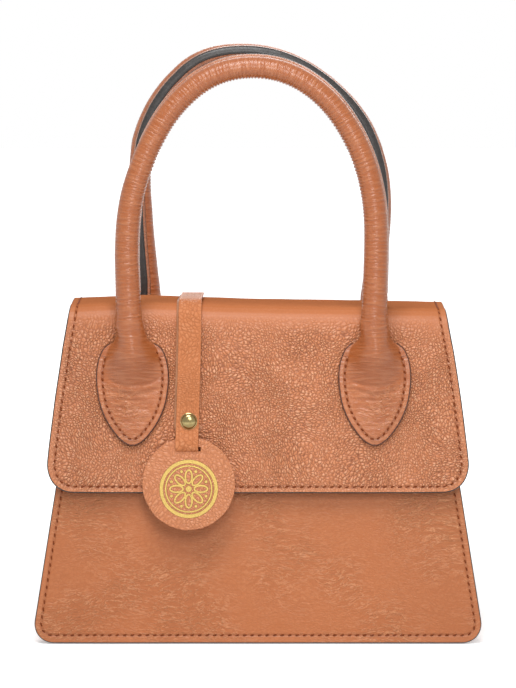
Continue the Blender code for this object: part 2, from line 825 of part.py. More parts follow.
def tube_mesh(name, stations, resolution, collection):
    """A tube through stations (point, radius)."""
    curve = bpy.data.curves.new(name, "CURVE")
    curve.dimensions = "3D"
    curve.twist_mode = "MINIMUM"
    curve.bevel_depth = NECK_DIAMETER / 2
    curve.bevel_resolution = resolution
    curve.use_fill_caps = True
    spline = curve.splines.new("POLY")
    spline.points.add(len(stations) - 1)
    for target, (point, radius) in zip(spline.points, stations):
        target.co = (*point, 1)
        target.radius = radius / (NECK_DIAMETER / 2)
    return mesh_of_curve(curve, collection)


def make_handle(side, line, names, shift, parts, cutters, leather, cord, parent):
    """A leather tube over a cord core, with a painted seam fin towards the other handle."""
    neck = neck_point(side)

    def at(x, rise):
        return Vector((x + shift, neck.y, neck.z + rise))

    end = NECK_DIAMETER / 2
    dome = [(-end * math.sin(angle), end * math.cos(angle))
            for angle in (math.radians(turn_to) for turn_to in (75, 50, 25))]
    left, right = line[0][0], line[-1][0]
    skin = [(at(left, rise), radius) for rise, radius in dome]
    skin += [(at(x, rise), tube_radius(rise)) for x, rise in line]
    skin += [(at(right, rise), radius) for rise, radius in reversed(dome)]
    cover = place(names[0], tube_mesh(names[0], skin, 4, parts), parts, leather, parent)

    rows = []
    for before, (x, rise), after in zip(line, line[1:], line[2:]):
        if rise > SEAM_FIN_START:
            along = Vector((after[0] - before[0], 0, after[1] - before[1])).normalized()
            turn_out = math.radians(SEAM_TURN_DEGREES) * smooth_share(rise / HANDLE_RISE)
            inward = Vector((0, -side * math.cos(turn_out), 0))
            facing = inward + Vector((-along.z, 0, along.x)) * math.sin(turn_out)
            root = tube_radius(rise) - TUBE_WALL / 2
            tip = tube_radius(rise) + SEAM_FIN_HEIGHT
            rows.append([at(x, rise) + facing * root, at(x, rise) + facing * tip])
    fin = place(names[0] + "_fin", sheet_from_rows("fin", rows), cutters)
    thicken(as_cutter(fin), SEAM_FIN_WIDTH)
    cut(cover, fin, "UNION")

    throat = end * 0.4
    bore = [(at(left, -end - CUT_OVERRUN), throat), (at(left, -end / 2), throat)]
    bore += [(at(x, rise), tube_radius(rise) - TUBE_WALL) for x, rise in line]
    bore += [(at(right, -end / 2), throat), (at(right, -end - CUT_OVERRUN), throat)]
    hollow = place(names[0] + "_bore", tube_mesh(names[0] + "_bore", bore, 2, cutters), cutters)
    cut(cover, as_cutter(hollow))
    smooth(cover)

    inner = [(at(x, rise), tube_radius(rise) - TUBE_WALL - SEAT) for x, rise in line]
    smooth(place(names[1], tube_mesh(names[1], inner, 2, parts), parts, cord, parent))


# The hang tag

def strap_build():
    """Thickness of the strap where its two layers lie together."""
    return STRAP_LEATHER * 2 + SEAT


def make_strap_top(parts, leather, parent):
    """The sewn double end of the strap, lying over the top of the flap."""
    top, fold, hem = flap_lengths()
    offset = FLAP_LEATHER / 2 + SEAT + strap_build() / 2
    stations = [STRAP_START + (top - STRAP_START) * step / 3 for step in range(3)]
    stations += [top + (fold - top) * step / FOLD_STEPS for step in range(FOLD_STEPS + 1)]
    half = STRAP_WIDTH / 2
    rows = []
    for length in stations:
        point = flap_point(length, offset)
        rows.append([(TAG_OFFSET - half, point.y, point.z), (TAG_OFFSET + half, point.y, point.z)])
    made = place("tag_strap_top", sheet_from_rows("tag_strap_top", rows), parts, leather, parent)
    thicken(made, strap_build())


def back_layer_standoff(drop):
    ease = STRAP_EASE * smooth_share(drop / STRAP_EASE_LENGTH)
    return SEAT + STRAP_LEATHER / 2 + ease


def disc_standoff():
    """From the flap's face to the back of the disc."""
    return SEAT + STRAP_EASE + STRAP_LEATHER + DISC_ROOM


def disc_build():
    return DISC_LEATHER * 2 + SEAT


def loop_sizes():
    """Middle standoff and middle radius of the strap's loop through the slot, and its drop."""
    back = back_layer_standoff(STRAP_EASE_LENGTH)
    front = disc_standoff() + disc_build() + SEAT + STRAP_LEATHER / 2
    return (back + front) / 2, (front - back) / 2, SLOT_DROP - SEAT


def front_layer_standoff(drop):
    middle, radius, loop_drop = loop_sizes()
    close = back_layer_standoff(drop) + STRAP_LEATHER + SEAT
    start = RIVET_DROP + RIVET_DIAMETER / 2
    end = DISC_DROP - DISC_DIAMETER / 2 - SEAT
    return close + (middle + radius - close) * smooth_share((drop - start) / (end - start))


def strap_stations():
    """Points (drop, standoff, sideways shift) down the front layer, round and up the back."""
    middle, radius, loop_drop = loop_sizes()
    rivet_foot = RIVET_DROP + RIVET_DIAMETER / 2
    disc_top = DISC_DROP - DISC_DIAMETER / 2
    down = [SEAT + (STRAP_EASE_LENGTH - SEAT) * step / 4 for step in range(4)]
    down += [STRAP_EASE_LENGTH, RIVET_DROP]
    down += [rivet_foot + (disc_top - rivet_foot) * step / 5 for step in range(6)]
    front = [(drop, front_layer_standoff(drop), 0) for drop in down]
    turn_steps = 8
    loop = []
    for step in range(turn_steps + 1):
        angle = math.pi * step / turn_steps
        loop.append((loop_drop + radius * math.sin(angle), middle + radius * math.cos(angle), 0))
    back = []
    for drop in reversed(down):
        shift = STRAP_BACK_SHIFT * smooth_share((disc_top - drop) / (disc_top - RIVET_DROP))
        back.append((drop, back_layer_standoff(drop), shift))
    return front + loop + back


def rivet_point(standoff):
    point = front_point(RIVET_DROP, standoff)
    return Vector((TAG_OFFSET, point.y, point.z))


def make_strap(parts, cutters, leather, parent):
    """One strip folded in two through the disc's slot, both layers caught by the rivet."""
    rows = []
    half = STRAP_WIDTH / 2
    for drop, standoff, shift in strap_stations():
        point = front_point(drop, standoff)
        middle = TAG_OFFSET + shift
        rows.append([(middle - half, point.y, point.z), (middle + half, point.y, point.z)])
    strap = place("tag_strap", sheet_from_rows("tag_strap", rows), parts, leather, parent)
    thicken(strap, STRAP_LEATHER)
    start, down = flap_front_line()
    hole = round_cutter("rivet_hole", rivet_point(strap_build() / 2), outward(down),
                        RIVET_STEM_DIAMETER + HOLE_ROOM, strap_build() * 3, cutters)
    cut(strap, hole)


def make_rivet(parts, brass, parent):
    """A domed cap whose stem passes both layers, and the flat back cap behind them."""
    start, down = flap_front_line()
    out = outward(down)
    face = back_layer_standoff(RIVET_DROP) + STRAP_LEATHER * 3 / 2 + SEAT * 2
    rim = RIVET_DIAMETER / 2
    stem = RIVET_STEM_DIAMETER / 2
    stem_length = strap_build() + SEAT
    dome = RIVET_DOME_HEIGHT - RIVET_RIM_HEIGHT
    steps = 6
    profile = []
    for step in range(steps + 1):
        angle = math.pi / 2 * step / steps
        profile.append((rim * math.sin(angle), RIVET_RIM_HEIGHT + dome * math.cos(angle)))
    profile += [(rim, 0), (stem, 0), (stem, -stem_length), (0, -stem_length)]
    cap = place("rivet_cap", turned_mesh("rivet_cap", profile), parts, brass, parent)
    aim(turn(cap), rivet_point(face), out)
    low = back_layer_standoff(RIVET_DROP) - STRAP_LEATHER / 2 - SEAT - RIVET_BACK_THICKNESS
    radius = RIVET_BACK_DIAMETER / 2
    flat = [(0, RIVET_BACK_THICKNESS), (radius, RIVET_BACK_THICKNESS), (radius, 0), (0, 0)]
    back = place("rivet_back", turned_mesh("rivet_back", flat), parts, brass, parent)
    aim(turn(back), rivet_point(low), out)


def disc_hang_point():
    """The axis that the disc rocks about, on the strap in its slot."""
    point = front_point(SLOT_DROP, disc_standoff() + disc_build() / 2)
    return Vector((TAG_OFFSET, point.y, point.z))


def make_disc(parts, leather, parent):
    """Two round leathers back to back, with a slot for the strap."""
    start, down = flap_front_line()
    out = outward(down)
    radius = DISC_DIAMETER / 2
    around = TURN_STEPS * 2
    rim = [(radius * math.cos(2 * math.pi * step / around),
            radius * math.sin(2 * math.pi * step / around)) for step in range(around)]
    high = SLOT_DROP - DISC_DROP
    low = high + SLOT_HEIGHT
    side = STRAP_WIDTH / 2 + SLOT_SIDE_ROOM
    slot = [(-side, high), (side, high), (side, low), (-side, low)]
    across = Vector(down).cross(out)
    frame = Matrix((across, down, out)).transposed().to_4x4()
    layers = (("tag_disc_back", 0), ("tag_disc_front", DISC_LEATHER + SEAT))
    for name, lift in layers:
        mesh = flat_mesh(name, [rim, slot], DISC_LEATHER, parts, EDGE_ROUND / 2)
        middle = front_point(DISC_DROP, disc_standoff() + lift + DISC_LEATHER / 2)
        middle.x = TAG_OFFSET
        mesh.transform(Matrix.Translation(middle) @ frame)
        smooth(place(name, mesh, parts, leather, parent))


def axis_empty(name, point, collection):
    made = bpy.data.objects.new(name, None)
    made.empty_display_size = SEAM_WIDTH
    made.location = point
    collection.objects.link(made)
    return made


def main():
    for old in list(bpy.data.objects):
        bpy.data.objects.remove(old, do_unlink=True)
    parts = new_collection("handbag")
    cutters = new_collection("cutters")
    leather = material("cognac_leather", (0.57, 0.24, 0.115), 0.5)
    flap_leather = material("cognac_leather_flap", (0.60, 0.27, 0.14), 0.48)
    handle_leather = material("cognac_leather_smooth", (0.50, 0.19, 0.08), 0.42)
    suede = material("flap_suede", (0.42, 0.20, 0.11), 0.9)
    cloth = material("lining_cloth", (0.34, 0.20, 0.12), 0.85)
    card = material("board", (0.35, 0.30, 0.24), 0.9)
    cord = material("handle_cord", (0.62, 0.58, 0.50), 0.9)
    brass = material("brass", (0.72, 0.55, 0.28), 0.25, 1.0)

    fold = flap_point(flap_lengths()[1], FLAP_LEATHER / 2 + SEAT + strap_build())
    axes = {
        "flap_axis": hinge_point(),
        "front_handle_axis": neck_point(-1),
        "rear_handle_axis": neck_point(1),
        "tag_axis": Vector((TAG_OFFSET, fold.y, fold.z)),
        "disc_axis": disc_hang_point(),
    }
    empties = {name: axis_empty(name, point, parts) for name, point in axes.items()}
    flap_axis = empties["flap_axis"]

    make_panels(parts, cutters, leather)
    make_gusset(parts, leather)
    make_boards(parts, cutters, card)
    make_lining(parts, cloth)
    make_pocket(parts, cloth)
    make_socket(parts, brass)
    make_tabs(("rear_tab_left", "rear_tab_right"), 1, REAR_HANDLE_SHIFT, parts,
              handle_leather, None)

    make_flap(parts, cutters, flap_leather, suede, flap_axis)
    make_stud(parts, brass, flap_axis)
    make_tabs(("front_tab_left", "front_tab_right"), -1, FRONT_HANDLE_SHIFT, parts,
              handle_leather, flap_axis)
    make_strap_top(parts, flap_leather, flap_axis)

    front_line = handle_line(FRONT_ARCH_WIDTH, FRONT_ARCH_FULLNESS_SHARE, FRONT_ARCH_LEAN)
    rear_line = handle_line(REAR_ARCH_WIDTH, REAR_ARCH_FULLNESS_SHARE, REAR_ARCH_LEAN)
    make_handle(-1, front_line, ("front_handle", "front_handle_core"), FRONT_HANDLE_SHIFT,
                parts, cutters, handle_leather, cord, empties["front_handle_axis"])
    make_handle(1, rear_line, ("rear_handle", "rear_handle_core"), REAR_HANDLE_SHIFT,
                parts, cutters, handle_leather, cord, empties["rear_handle_axis"])

    make_strap(parts, cutters, flap_leather, empties["tag_axis"])
    make_rivet(parts, brass, empties["tag_axis"])
    make_disc(parts, leather, empties["disc_axis"])

    # The origin goes midway between the two handles, under the middle of the whole bag.
    setback = (neck_point(-1).y + neck_point(1).y) / 2
    for piece in list(parts.objects) + list(cutters.objects):
        if piece.parent is None:
            piece.location.y -= setback
    bpy.context.view_layer.update()
    for name, empty in empties.items():
        print(name, [round(value, 5) for value in empty.matrix_world.translation])


main()
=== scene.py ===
# %% [markdown]
# # A small flap handbag in tan leather
# The bag is a stiff, leaning box of leather with a flap over its front, two rolled handles
# and a round hang tag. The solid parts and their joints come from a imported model. This
# lesson dresses them: each leather piece is made again with its own thickness, grain,
# stitching and painted edge. All sizes below are in millimetres.

import json
import math

import bmesh
import bpy
import numpy as np
from mathutils import Matrix, Vector
from mathutils.kdtree import KDTree

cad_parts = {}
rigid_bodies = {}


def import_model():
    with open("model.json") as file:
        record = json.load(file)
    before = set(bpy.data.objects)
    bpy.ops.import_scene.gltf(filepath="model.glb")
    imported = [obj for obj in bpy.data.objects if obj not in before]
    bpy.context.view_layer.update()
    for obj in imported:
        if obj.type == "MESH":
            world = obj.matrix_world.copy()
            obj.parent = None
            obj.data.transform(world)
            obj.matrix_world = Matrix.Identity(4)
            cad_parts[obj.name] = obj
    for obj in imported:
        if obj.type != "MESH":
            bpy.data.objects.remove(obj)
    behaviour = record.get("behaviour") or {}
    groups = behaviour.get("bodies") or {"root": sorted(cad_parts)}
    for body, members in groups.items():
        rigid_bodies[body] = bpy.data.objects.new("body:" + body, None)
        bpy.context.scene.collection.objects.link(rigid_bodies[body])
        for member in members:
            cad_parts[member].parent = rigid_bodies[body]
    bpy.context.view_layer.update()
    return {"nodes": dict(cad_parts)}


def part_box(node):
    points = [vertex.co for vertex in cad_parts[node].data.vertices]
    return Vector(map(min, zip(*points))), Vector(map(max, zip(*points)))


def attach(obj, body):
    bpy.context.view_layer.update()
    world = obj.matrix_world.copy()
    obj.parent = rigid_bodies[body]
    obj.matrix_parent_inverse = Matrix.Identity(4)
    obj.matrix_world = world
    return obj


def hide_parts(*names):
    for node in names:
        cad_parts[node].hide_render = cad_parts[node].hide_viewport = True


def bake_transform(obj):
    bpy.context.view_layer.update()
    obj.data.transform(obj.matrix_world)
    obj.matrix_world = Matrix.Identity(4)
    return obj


for old in list(bpy.data.objects):
    bpy.data.objects.remove(old, do_unlink=True)
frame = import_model()
nodes = frame["nodes"]
MM = 0.001

# %% [markdown]
# ## Where the photographer stood
# A product photograph is taken from far away with a long lens, so that the bag isn't
# distorted. The lens is level with the handles and looks slightly down at the bag. A
# wide lens close by would show too much of the top.

# %% Set the camera
CAMERA_PLACE, LOOKS_AT, FARTHEST_SEEN = (0, -1.397, 0.288), (0, 0.003, 0.148), 20  # metres
LENS, SENSOR_WIDTH = 141.6, 36  # millimetres


def add_object(name, data):
    made = bpy.data.objects.new(name, data)
    bpy.context.scene.collection.objects.link(made)
    return made


def point_at(made, place, target):
    """Puts a camera or a lamp in its place and turns it towards a target."""
    made.location = place
    way = Vector(target) - made.location
    made.rotation_euler = way.to_track_quat("-Z", "Y").to_euler()
    return way


camera_data = bpy.data.cameras.new("camera")
camera = add_object("camera", camera_data)
aim = point_at(camera, CAMERA_PLACE, LOOKS_AT)
camera_data.sensor_width, camera_data.lens = SENSOR_WIDTH, LENS
camera_data.clip_end = FARTHEST_SEEN
bpy.context.scene.camera = camera
print("camera looks down", round(math.degrees(math.asin(-aim.z / aim.length)), 2), "degrees")

# %% [markdown]
# ## Leather as a slab
# Each leather piece is a sheet with a front, a back and a cut edge all round. The helper
# takes rows of points for the front, pushes a copy of them inwards by the leather's
# thickness, and closes the rim between the two. The rim gets a material of its own, since
# bag makers paint it, and it swells outwards as a thin bead, as thick paint does. Solidify
# could do this too, but here the flat pattern of the leather is kept as UVs in metres, so
# the grain has a true scale and follows the piece when it bends. Three numbers ride on each
# point for the material: rim is its distance from the cut edge, seam its distance inside
# the line of stitches, and taut says how much its grain is pulled flat.

# %% Helpers for points and meshes
FAR = 20.0  # what rim and seam say where no edge is near


def unit(vectors):
    return vectors / np.maximum(np.linalg.norm(vectors, axis=-1, keepdims=True), 1e-9)


def soft_step(value):
    value = np.clip(value, 0, 1)
    return value * value * (3 - 2 * value)


def face_normals(points, closed=False):
    """Normals of a grid of points, whose rows go down and whose columns go right."""
    if closed:
        points = np.concatenate([points[:, -1:], points, points[:, :1]], axis=1)
    found = unit(np.cross(np.gradient(points, axis=0), np.gradient(points, axis=1)))
    return found[:, 1:-1] if closed else found


def new_mesh(name, points, faces, flat, numbers=None, kinds=None, finishes=()):
    """A mesh from millimetres. flat is each point's place in the flat pattern."""
    mesh = bpy.data.meshes.new(name)
    mesh.from_pydata((points * MM).tolist(), [], faces)
    corner = np.zeros(len(mesh.loops), np.int32)
    mesh.loops.foreach_get("vertex_index", corner)
    mesh.uv_layers.new(name="pattern").data.foreach_set("uv", (flat[corner] * MM).ravel())
    for key, spare in (("rim", FAR), ("seam", FAR), ("taut", 0.0)):
        values = (numbers or {}).get(key, np.full(len(points), spare))
        mesh.attributes.new(key, "FLOAT", "POINT").data.foreach_set("value", values)
    for finish in finishes:
        mesh.materials.append(finish)
    if kinds is not None:
        mesh.polygons.foreach_set("material_index", kinds)
    mesh.shade_smooth()
    return add_object(name, mesh)


def quads(index, flip=False):
    around = [index[:-1, :-1], index[1:, :-1], index[1:, 1:], index[:-1, 1:]]
    if flip:
        around.reverse()
    return np.stack(around, -1).reshape(-1, 4).tolist()


print("mesh helpers ready")

# %% [markdown]
# The rim is a few rows of points between the front and the back, pushed outwards on half a
# circle. The two lines where it meets the faces are marked sharp, since smooth shading alone
# would round the leather off like dough. A closed sheet, such as a bag of lining, has no
# sides, so its rim runs only round its mouth and its foot.

# %% A slab of leather
BEAD_TURNS = np.radians([28, 60, 90, 120, 152])


def slab(name, front, thickness, flat, numbers=None, bead=0.4, finishes=(), closed=False):
    """A sheet with thickness: finishes are for its front, its rim and its back."""
    rows, columns = front.shape[:2]
    count = rows * columns
    depth = np.broadcast_to(thickness, (rows, columns))[..., None]
    normals = face_normals(front, closed)
    upper, lower = front.reshape(-1, 3), (front - normals * depth).reshape(-1, 3)
    normals = normals.reshape(-1, 3)
    index = np.arange(count).reshape(rows, columns)
    if closed:
        index = np.concatenate([index, index[:, :1]], axis=1)
        borders = [index[0, :-1], index[-1, :0:-1]]
    else:
        borders = [np.concatenate([index[0, :-1], index[:-1, -1], index[-1, :0:-1],
                                   index[:0:-1, 0]])]
    points, sources, rim = [upper, lower], [np.arange(count), np.arange(count)], []
    for border in borders:
        along = np.roll(upper[border], -1, axis=0) - np.roll(upper[border], 1, axis=0)
        outwards = unit(np.cross(normals[border], along)) * bead
        layers = [border]
        for turn in BEAD_TURNS if bead else ():
            share = (1 - math.cos(turn)) / 2
            layers.append(np.arange(len(border)) + sum(map(len, points)))
            points.append(upper[border] * (1 - share) + lower[border] * share
                          + outwards * math.sin(turn))
            sources.append(border)
        layers.append(border + count)
        for a, b in zip(layers, layers[1:]):
            rim += np.stack([a, np.roll(a, -1), np.roll(b, -1), b], -1).tolist()
    faces = quads(index) + rim + quads(index + count, flip=True)
    inner = (len(faces) - len(rim)) // 2
    kinds = np.repeat([0, 1, 2], [inner, len(rim), inner]).astype(np.int32)
    sources = np.concatenate(sources)
    spread = {key: values.ravel()[sources] for key, values in (numbers or {}).items()}
    made = new_mesh(name, np.concatenate(points), faces, flat.reshape(-1, 2)[sources], spread,
                    kinds, finishes)
    if bead:
        edges = np.zeros(len(made.data.edges) * 2, np.int32)
        made.data.edges.foreach_get("vertices", edges)
        corner = np.zeros(len(sources), np.int8)
        for border in borders:
            corner[border], corner[border + count] = 1, 2
        ends = corner[edges.reshape(-1, 2)]
        beside = np.abs(np.diff(edges.reshape(-1, 2), axis=1)[:, 0])
        sharp = (ends[:, 0] > 0) & (ends[:, 0] == ends[:, 1]) & np.isin(beside, (1, columns))
        made.data.attributes.new("sharp_edge", "BOOLEAN", "EDGE").data.foreach_set(
            "value", sharp)
    return made


print("slab helper ready")

# %% [markdown]
# A side view is drawn as a pattern maker draws it, as corners with a radius each. And no
# leather lies quite flat. A few long waves in different directions, added up, give it soft
# hollows that show in its outline too, which a bump in the material can't do.

# %% Rounded lines and soft ripples
def lengths_along(points):
    """How far along a line each of its points is."""
    return np.concatenate([[0], np.cumsum(np.linalg.norm(np.diff(points, axis=0), axis=1))])


def places_at(wanted, lengths, points):
    return np.stack([np.interp(wanted, lengths, column) for column in points.T], -1)


BEND_STEPS = 24


def rounded_line(corners, radii, step):
    """A line through 2D corners, each rounded by its radius, as evenly spaced points."""
    points = [np.array(corners[0], float)]
    for before, corner, after, radius in zip(corners, corners[1:], corners[2:], radii):
        corner = np.array(corner, float)
        back = unit(np.array(before) - corner)
        on = unit(np.array(after) - corner)
        turn = math.pi - math.acos(float(np.clip(back @ on, -1, 1)))
        reach = radius * math.tan(turn / 2)
        centre = corner + unit(back + on) * math.hypot(radius, reach)
        start = corner + back * reach - centre
        side = corner + on * reach - centre
        for share in np.linspace(0, 1, BEND_STEPS):
            points.append(centre + (start * math.sin((1 - share) * turn)
                                    + side * math.sin(share * turn)) / math.sin(turn))
    points.append(np.array(corners[-1], float))
    points = np.array(points)
    lengths = lengths_along(points)
    even = np.linspace(0, lengths[-1], max(int(lengths[-1] / step), 2))
    return places_at(even, lengths, points), even


RIPPLE_WAVES, RIPPLE_PACES, RIPPLE_REACH = 7, (0.55, 1.25), 4.5


def ripple(u, v, size, seed):
    """A soft, uneven height from -1 to 1 with hollows about as wide as size."""
    draw = np.random.default_rng(seed)
    total = 0
    for _ in range(RIPPLE_WAVES):
        turn = draw.uniform(0, 2 * math.pi)
        pace = 2 * math.pi / size * draw.uniform(*RIPPLE_PACES)
        total = total + np.sin((u * math.cos(turn) + v * math.sin(turn)) * pace
                               + draw.uniform(0, 2 * math.pi))
    return total / RIPPLE_REACH


print("ripple at one place:", round(float(ripple(10.0, 20.0, 30, 1)), 3))

# %% [markdown]
# ## Seams
# A seam runs at a fixed distance inside the edge of the flat pattern. So the edge is drawn
# first, as a closed line of close points. It gives every point of the leather its distance
# from the edge, and it gives the line of the stitches, which are real short lengths of
# thread, half sunk in the leather. Painted-on stitches would vanish at a grazing angle.

# %% Helpers for edges and stitches
def inward_and_inset(outline, seam):
    """The inward direction along a closed outline, and how far inside it the seam runs.

    seam holds the seam's distance from the edge at the sides, and at the ends.
    """
    along = unit(np.roll(outline, -3, axis=0) - np.roll(outline, 3, axis=0))
    inward = np.stack([-along[:, 1], along[:, 0]], -1)
    if ((outline.mean(0) - outline) * inward).sum() < 0:
        inward = -inward
    share = np.abs(inward[:, 0])
    return inward, seam[0] * share + seam[1] * (1 - share)


def edge_numbers(flat, outline, seam):
    """rim and seam for each point of a flat pattern."""
    inset = inward_and_inset(outline, seam)[1]
    tree = KDTree(len(outline))
    for place, point in enumerate(outline):
        tree.insert((*point, 0), place)
    tree.balance()
    nearest = [tree.find((*point, 0)) for point in flat.reshape(-1, 2)]
    rim = np.array([found[2] for found in nearest])
    inside = rim - inset[[found[1] for found in nearest]]
    return {"rim": rim.reshape(flat.shape[:-1]), "seam": inside.reshape(flat.shape[:-1])}


def even_line(points, step, closed=True):
    if closed:
        points = np.concatenate([points, points[:1]])
    lengths = lengths_along(points)
    count = max(int(round(lengths[-1] / step)), 2)
    even = np.linspace(0, lengths[-1], count + 1)
    return places_at(even[:-1] if closed else even, lengths, points)


def both_sides(half, at, step=0.5):
    """The closed outline of a piece, from its half width at each place along it."""
    right = np.stack([half, at], -1)
    return even_line(np.concatenate([right, (right * [-1, 1])[::-1]]), step)


def seam_line(outline, seam, pitch):
    inward, inset = inward_and_inset(outline, seam)
    return even_line(outline + inward * inset[:, None], pitch)


# Each ring of a stitch: its place along the thread, its size and its rise.
THREAD_RINGS = ((-0.5, 0.35, -0.45), (-0.42, 0.8, 0.0), (-0.15, 1.0, 0.16), (0.15, 1.0, 0.16),
                (0.42, 0.8, 0.0), (0.5, 0.35, -0.45))
THREAD_SIDES = 6


def stitches(name, places, aheads, outs, finish, length=2.3, width=0.75, slant=12):
    """One short thread at each place, slanted a little across the line of the seam."""
    outs = unit(outs)
    aheads = unit(aheads - outs * (aheads * outs).sum(1, keepdims=True))
    tilt = math.radians(slant)
    runs = aheads * math.cos(tilt) + np.cross(outs, aheads) * math.sin(tilt)
    besides = np.cross(outs, runs)
    turns = np.arange(THREAD_SIDES) * 2 * math.pi / THREAD_SIDES
    template = np.array([(at * length, size * width / 2 * math.cos(turn),
                          size * width / 2 * math.sin(turn) + rise * width)
                         for at, size, rise in THREAD_RINGS for turn in turns])
    one = np.arange(len(template)).reshape(len(THREAD_RINGS), THREAD_SIDES)
    ends = [one[0].tolist(), one[-1][::-1].tolist()]
    sides = quads(np.concatenate([one, one[:, :1]], axis=1), flip=True)
    points, faces = [], []
    for place, run, beside, out in zip(places, runs, besides, outs):
        first = len(points) * len(template)
        points.append(place + template @ np.stack([run, beside, out]))
        faces += [[first + corner for corner in face] for face in sides + ends]
    flat = np.tile(template[:, :2], (len(points), 1))
    return new_mesh(name, np.concatenate(points), faces, flat, finishes=[finish])


print("seam helpers ready")

# %% [markdown]
# ## Finishes
# A finish is a small tree of nodes. The class below only saves typing: each call adds one
# node and hands back its output. The leather is pebbled: Voronoi cells make the round
# grains, and a noise bends their borders. Creases between grains are lower and get painted
# shade, and grain tops get a painted highlight and are a little glossier. The grain fades at
# the edges and over the fold, where leather is pulled taut. All sizes in the nodes are in
# metres of leather.

# %% Helper for materials
def paint(red, green, blue):
    """A colour as a picture editor gives it, 0 to 255, for a node."""
    def level(value):
        value = value / 255
        return value / 12.92 if value <= 0.04045 else ((value + 0.055) / 1.055) ** 2.4
    return (level(red), level(green), level(blue), 1.0)


class Finish:
    """A material in the making. Each call adds a node and returns one of its outputs."""

    def __init__(self, owner):
        """owner is a new material's name, or the world."""
        self.owner = bpy.data.materials.new(owner) if isinstance(owner, str) else owner
        self.owner.use_nodes = True
        self.tree = self.owner.node_tree
        self.tree.nodes.clear()

    def add(self, kind, inputs=None, output=0, **settings):
        made = self.tree.nodes.new("ShaderNode" + kind)
        for key, value in settings.items():
            setattr(made, key, value)
        for key, value in (inputs or {}).items():
            if isinstance(value, bpy.types.NodeSocket):
                self.tree.links.new(value, made.inputs[key])
            else:
                made.inputs[key].default_value = value
        return made.outputs[output] if made.outputs else made

    def math(self, operation, a, b=0.0):
        return self.add("Math", {0: a, 1: b}, operation=operation)

    def times(self, first, *others):
        for other in others:
            first = self.math("MULTIPLY", first, other)
        return first

    def vector(self, operation, a, b):
        second = "Scale" if operation == "SCALE" else 1
        return self.add("VectorMath", {0: a, second: b}, operation=operation)

    def fade(self, value, low, high, at_low=0.0, at_high=1.0):
        return self.add("MapRange", {0: value, 1: low, 2: high, 3: at_low, 4: at_high},
                        interpolation_type="SMOOTHSTEP")

    def blend(self, share, a, b):
        return self.add("Mix", {0: share, 6: a, 7: b}, 2, data_type="RGBA")

    def two_tones(self, share, first, second):
        return self.blend(share, paint(*first), paint(*second))

    def in_space(self):
        return self.add("TexCoord", output=3)

    def on_pattern(self):
        return self.add("UVMap", uv_map="pattern")

    def noise(self, where, scale, detail=2.0, roughness=0.5):
        return self.add("TexNoise", {"Vector": where, "Scale": scale, "Detail": detail,
                                     "Roughness": roughness})

    def number(self, name):
        return self.add("Attribute", output=2, attribute_name=name)

    def finish(self, colour, roughness, height, depth, **fixed):
        """Closes the material: height is raised by up to depth, in metres."""
        bumps = self.add("Bump", {"Strength": 1.0, "Distance": depth, "Height": height})
        shader = {"Base Color": colour, "Roughness": roughness, "Normal": bumps}
        shader.update({key.replace("_", " "): value for key, value in fixed.items()})
        self.add("OutputMaterial", {"Surface": self.add("BsdfPrincipled", shader)})
        return self.owner


print("material helper ready")

# %% [markdown]
# Every leather of the bag is the same tree with other numbers. The flap's pebbles stand up
# high, the front panel's are pulled into fine ridges, and the handles are polished nearly
# smooth. One function for all of them keeps them one hide, and each later change reaches
# every piece. An image of leather would be quicker, but it would repeat and blur up close.

# %% Leathers
# Painted shade darkens the sides of a leather between these distances from the middle.
SIDE_SHADE_START, SIDE_SHADE_END = 0.055, 0.1  # metres from the middle, where the sides grow darker


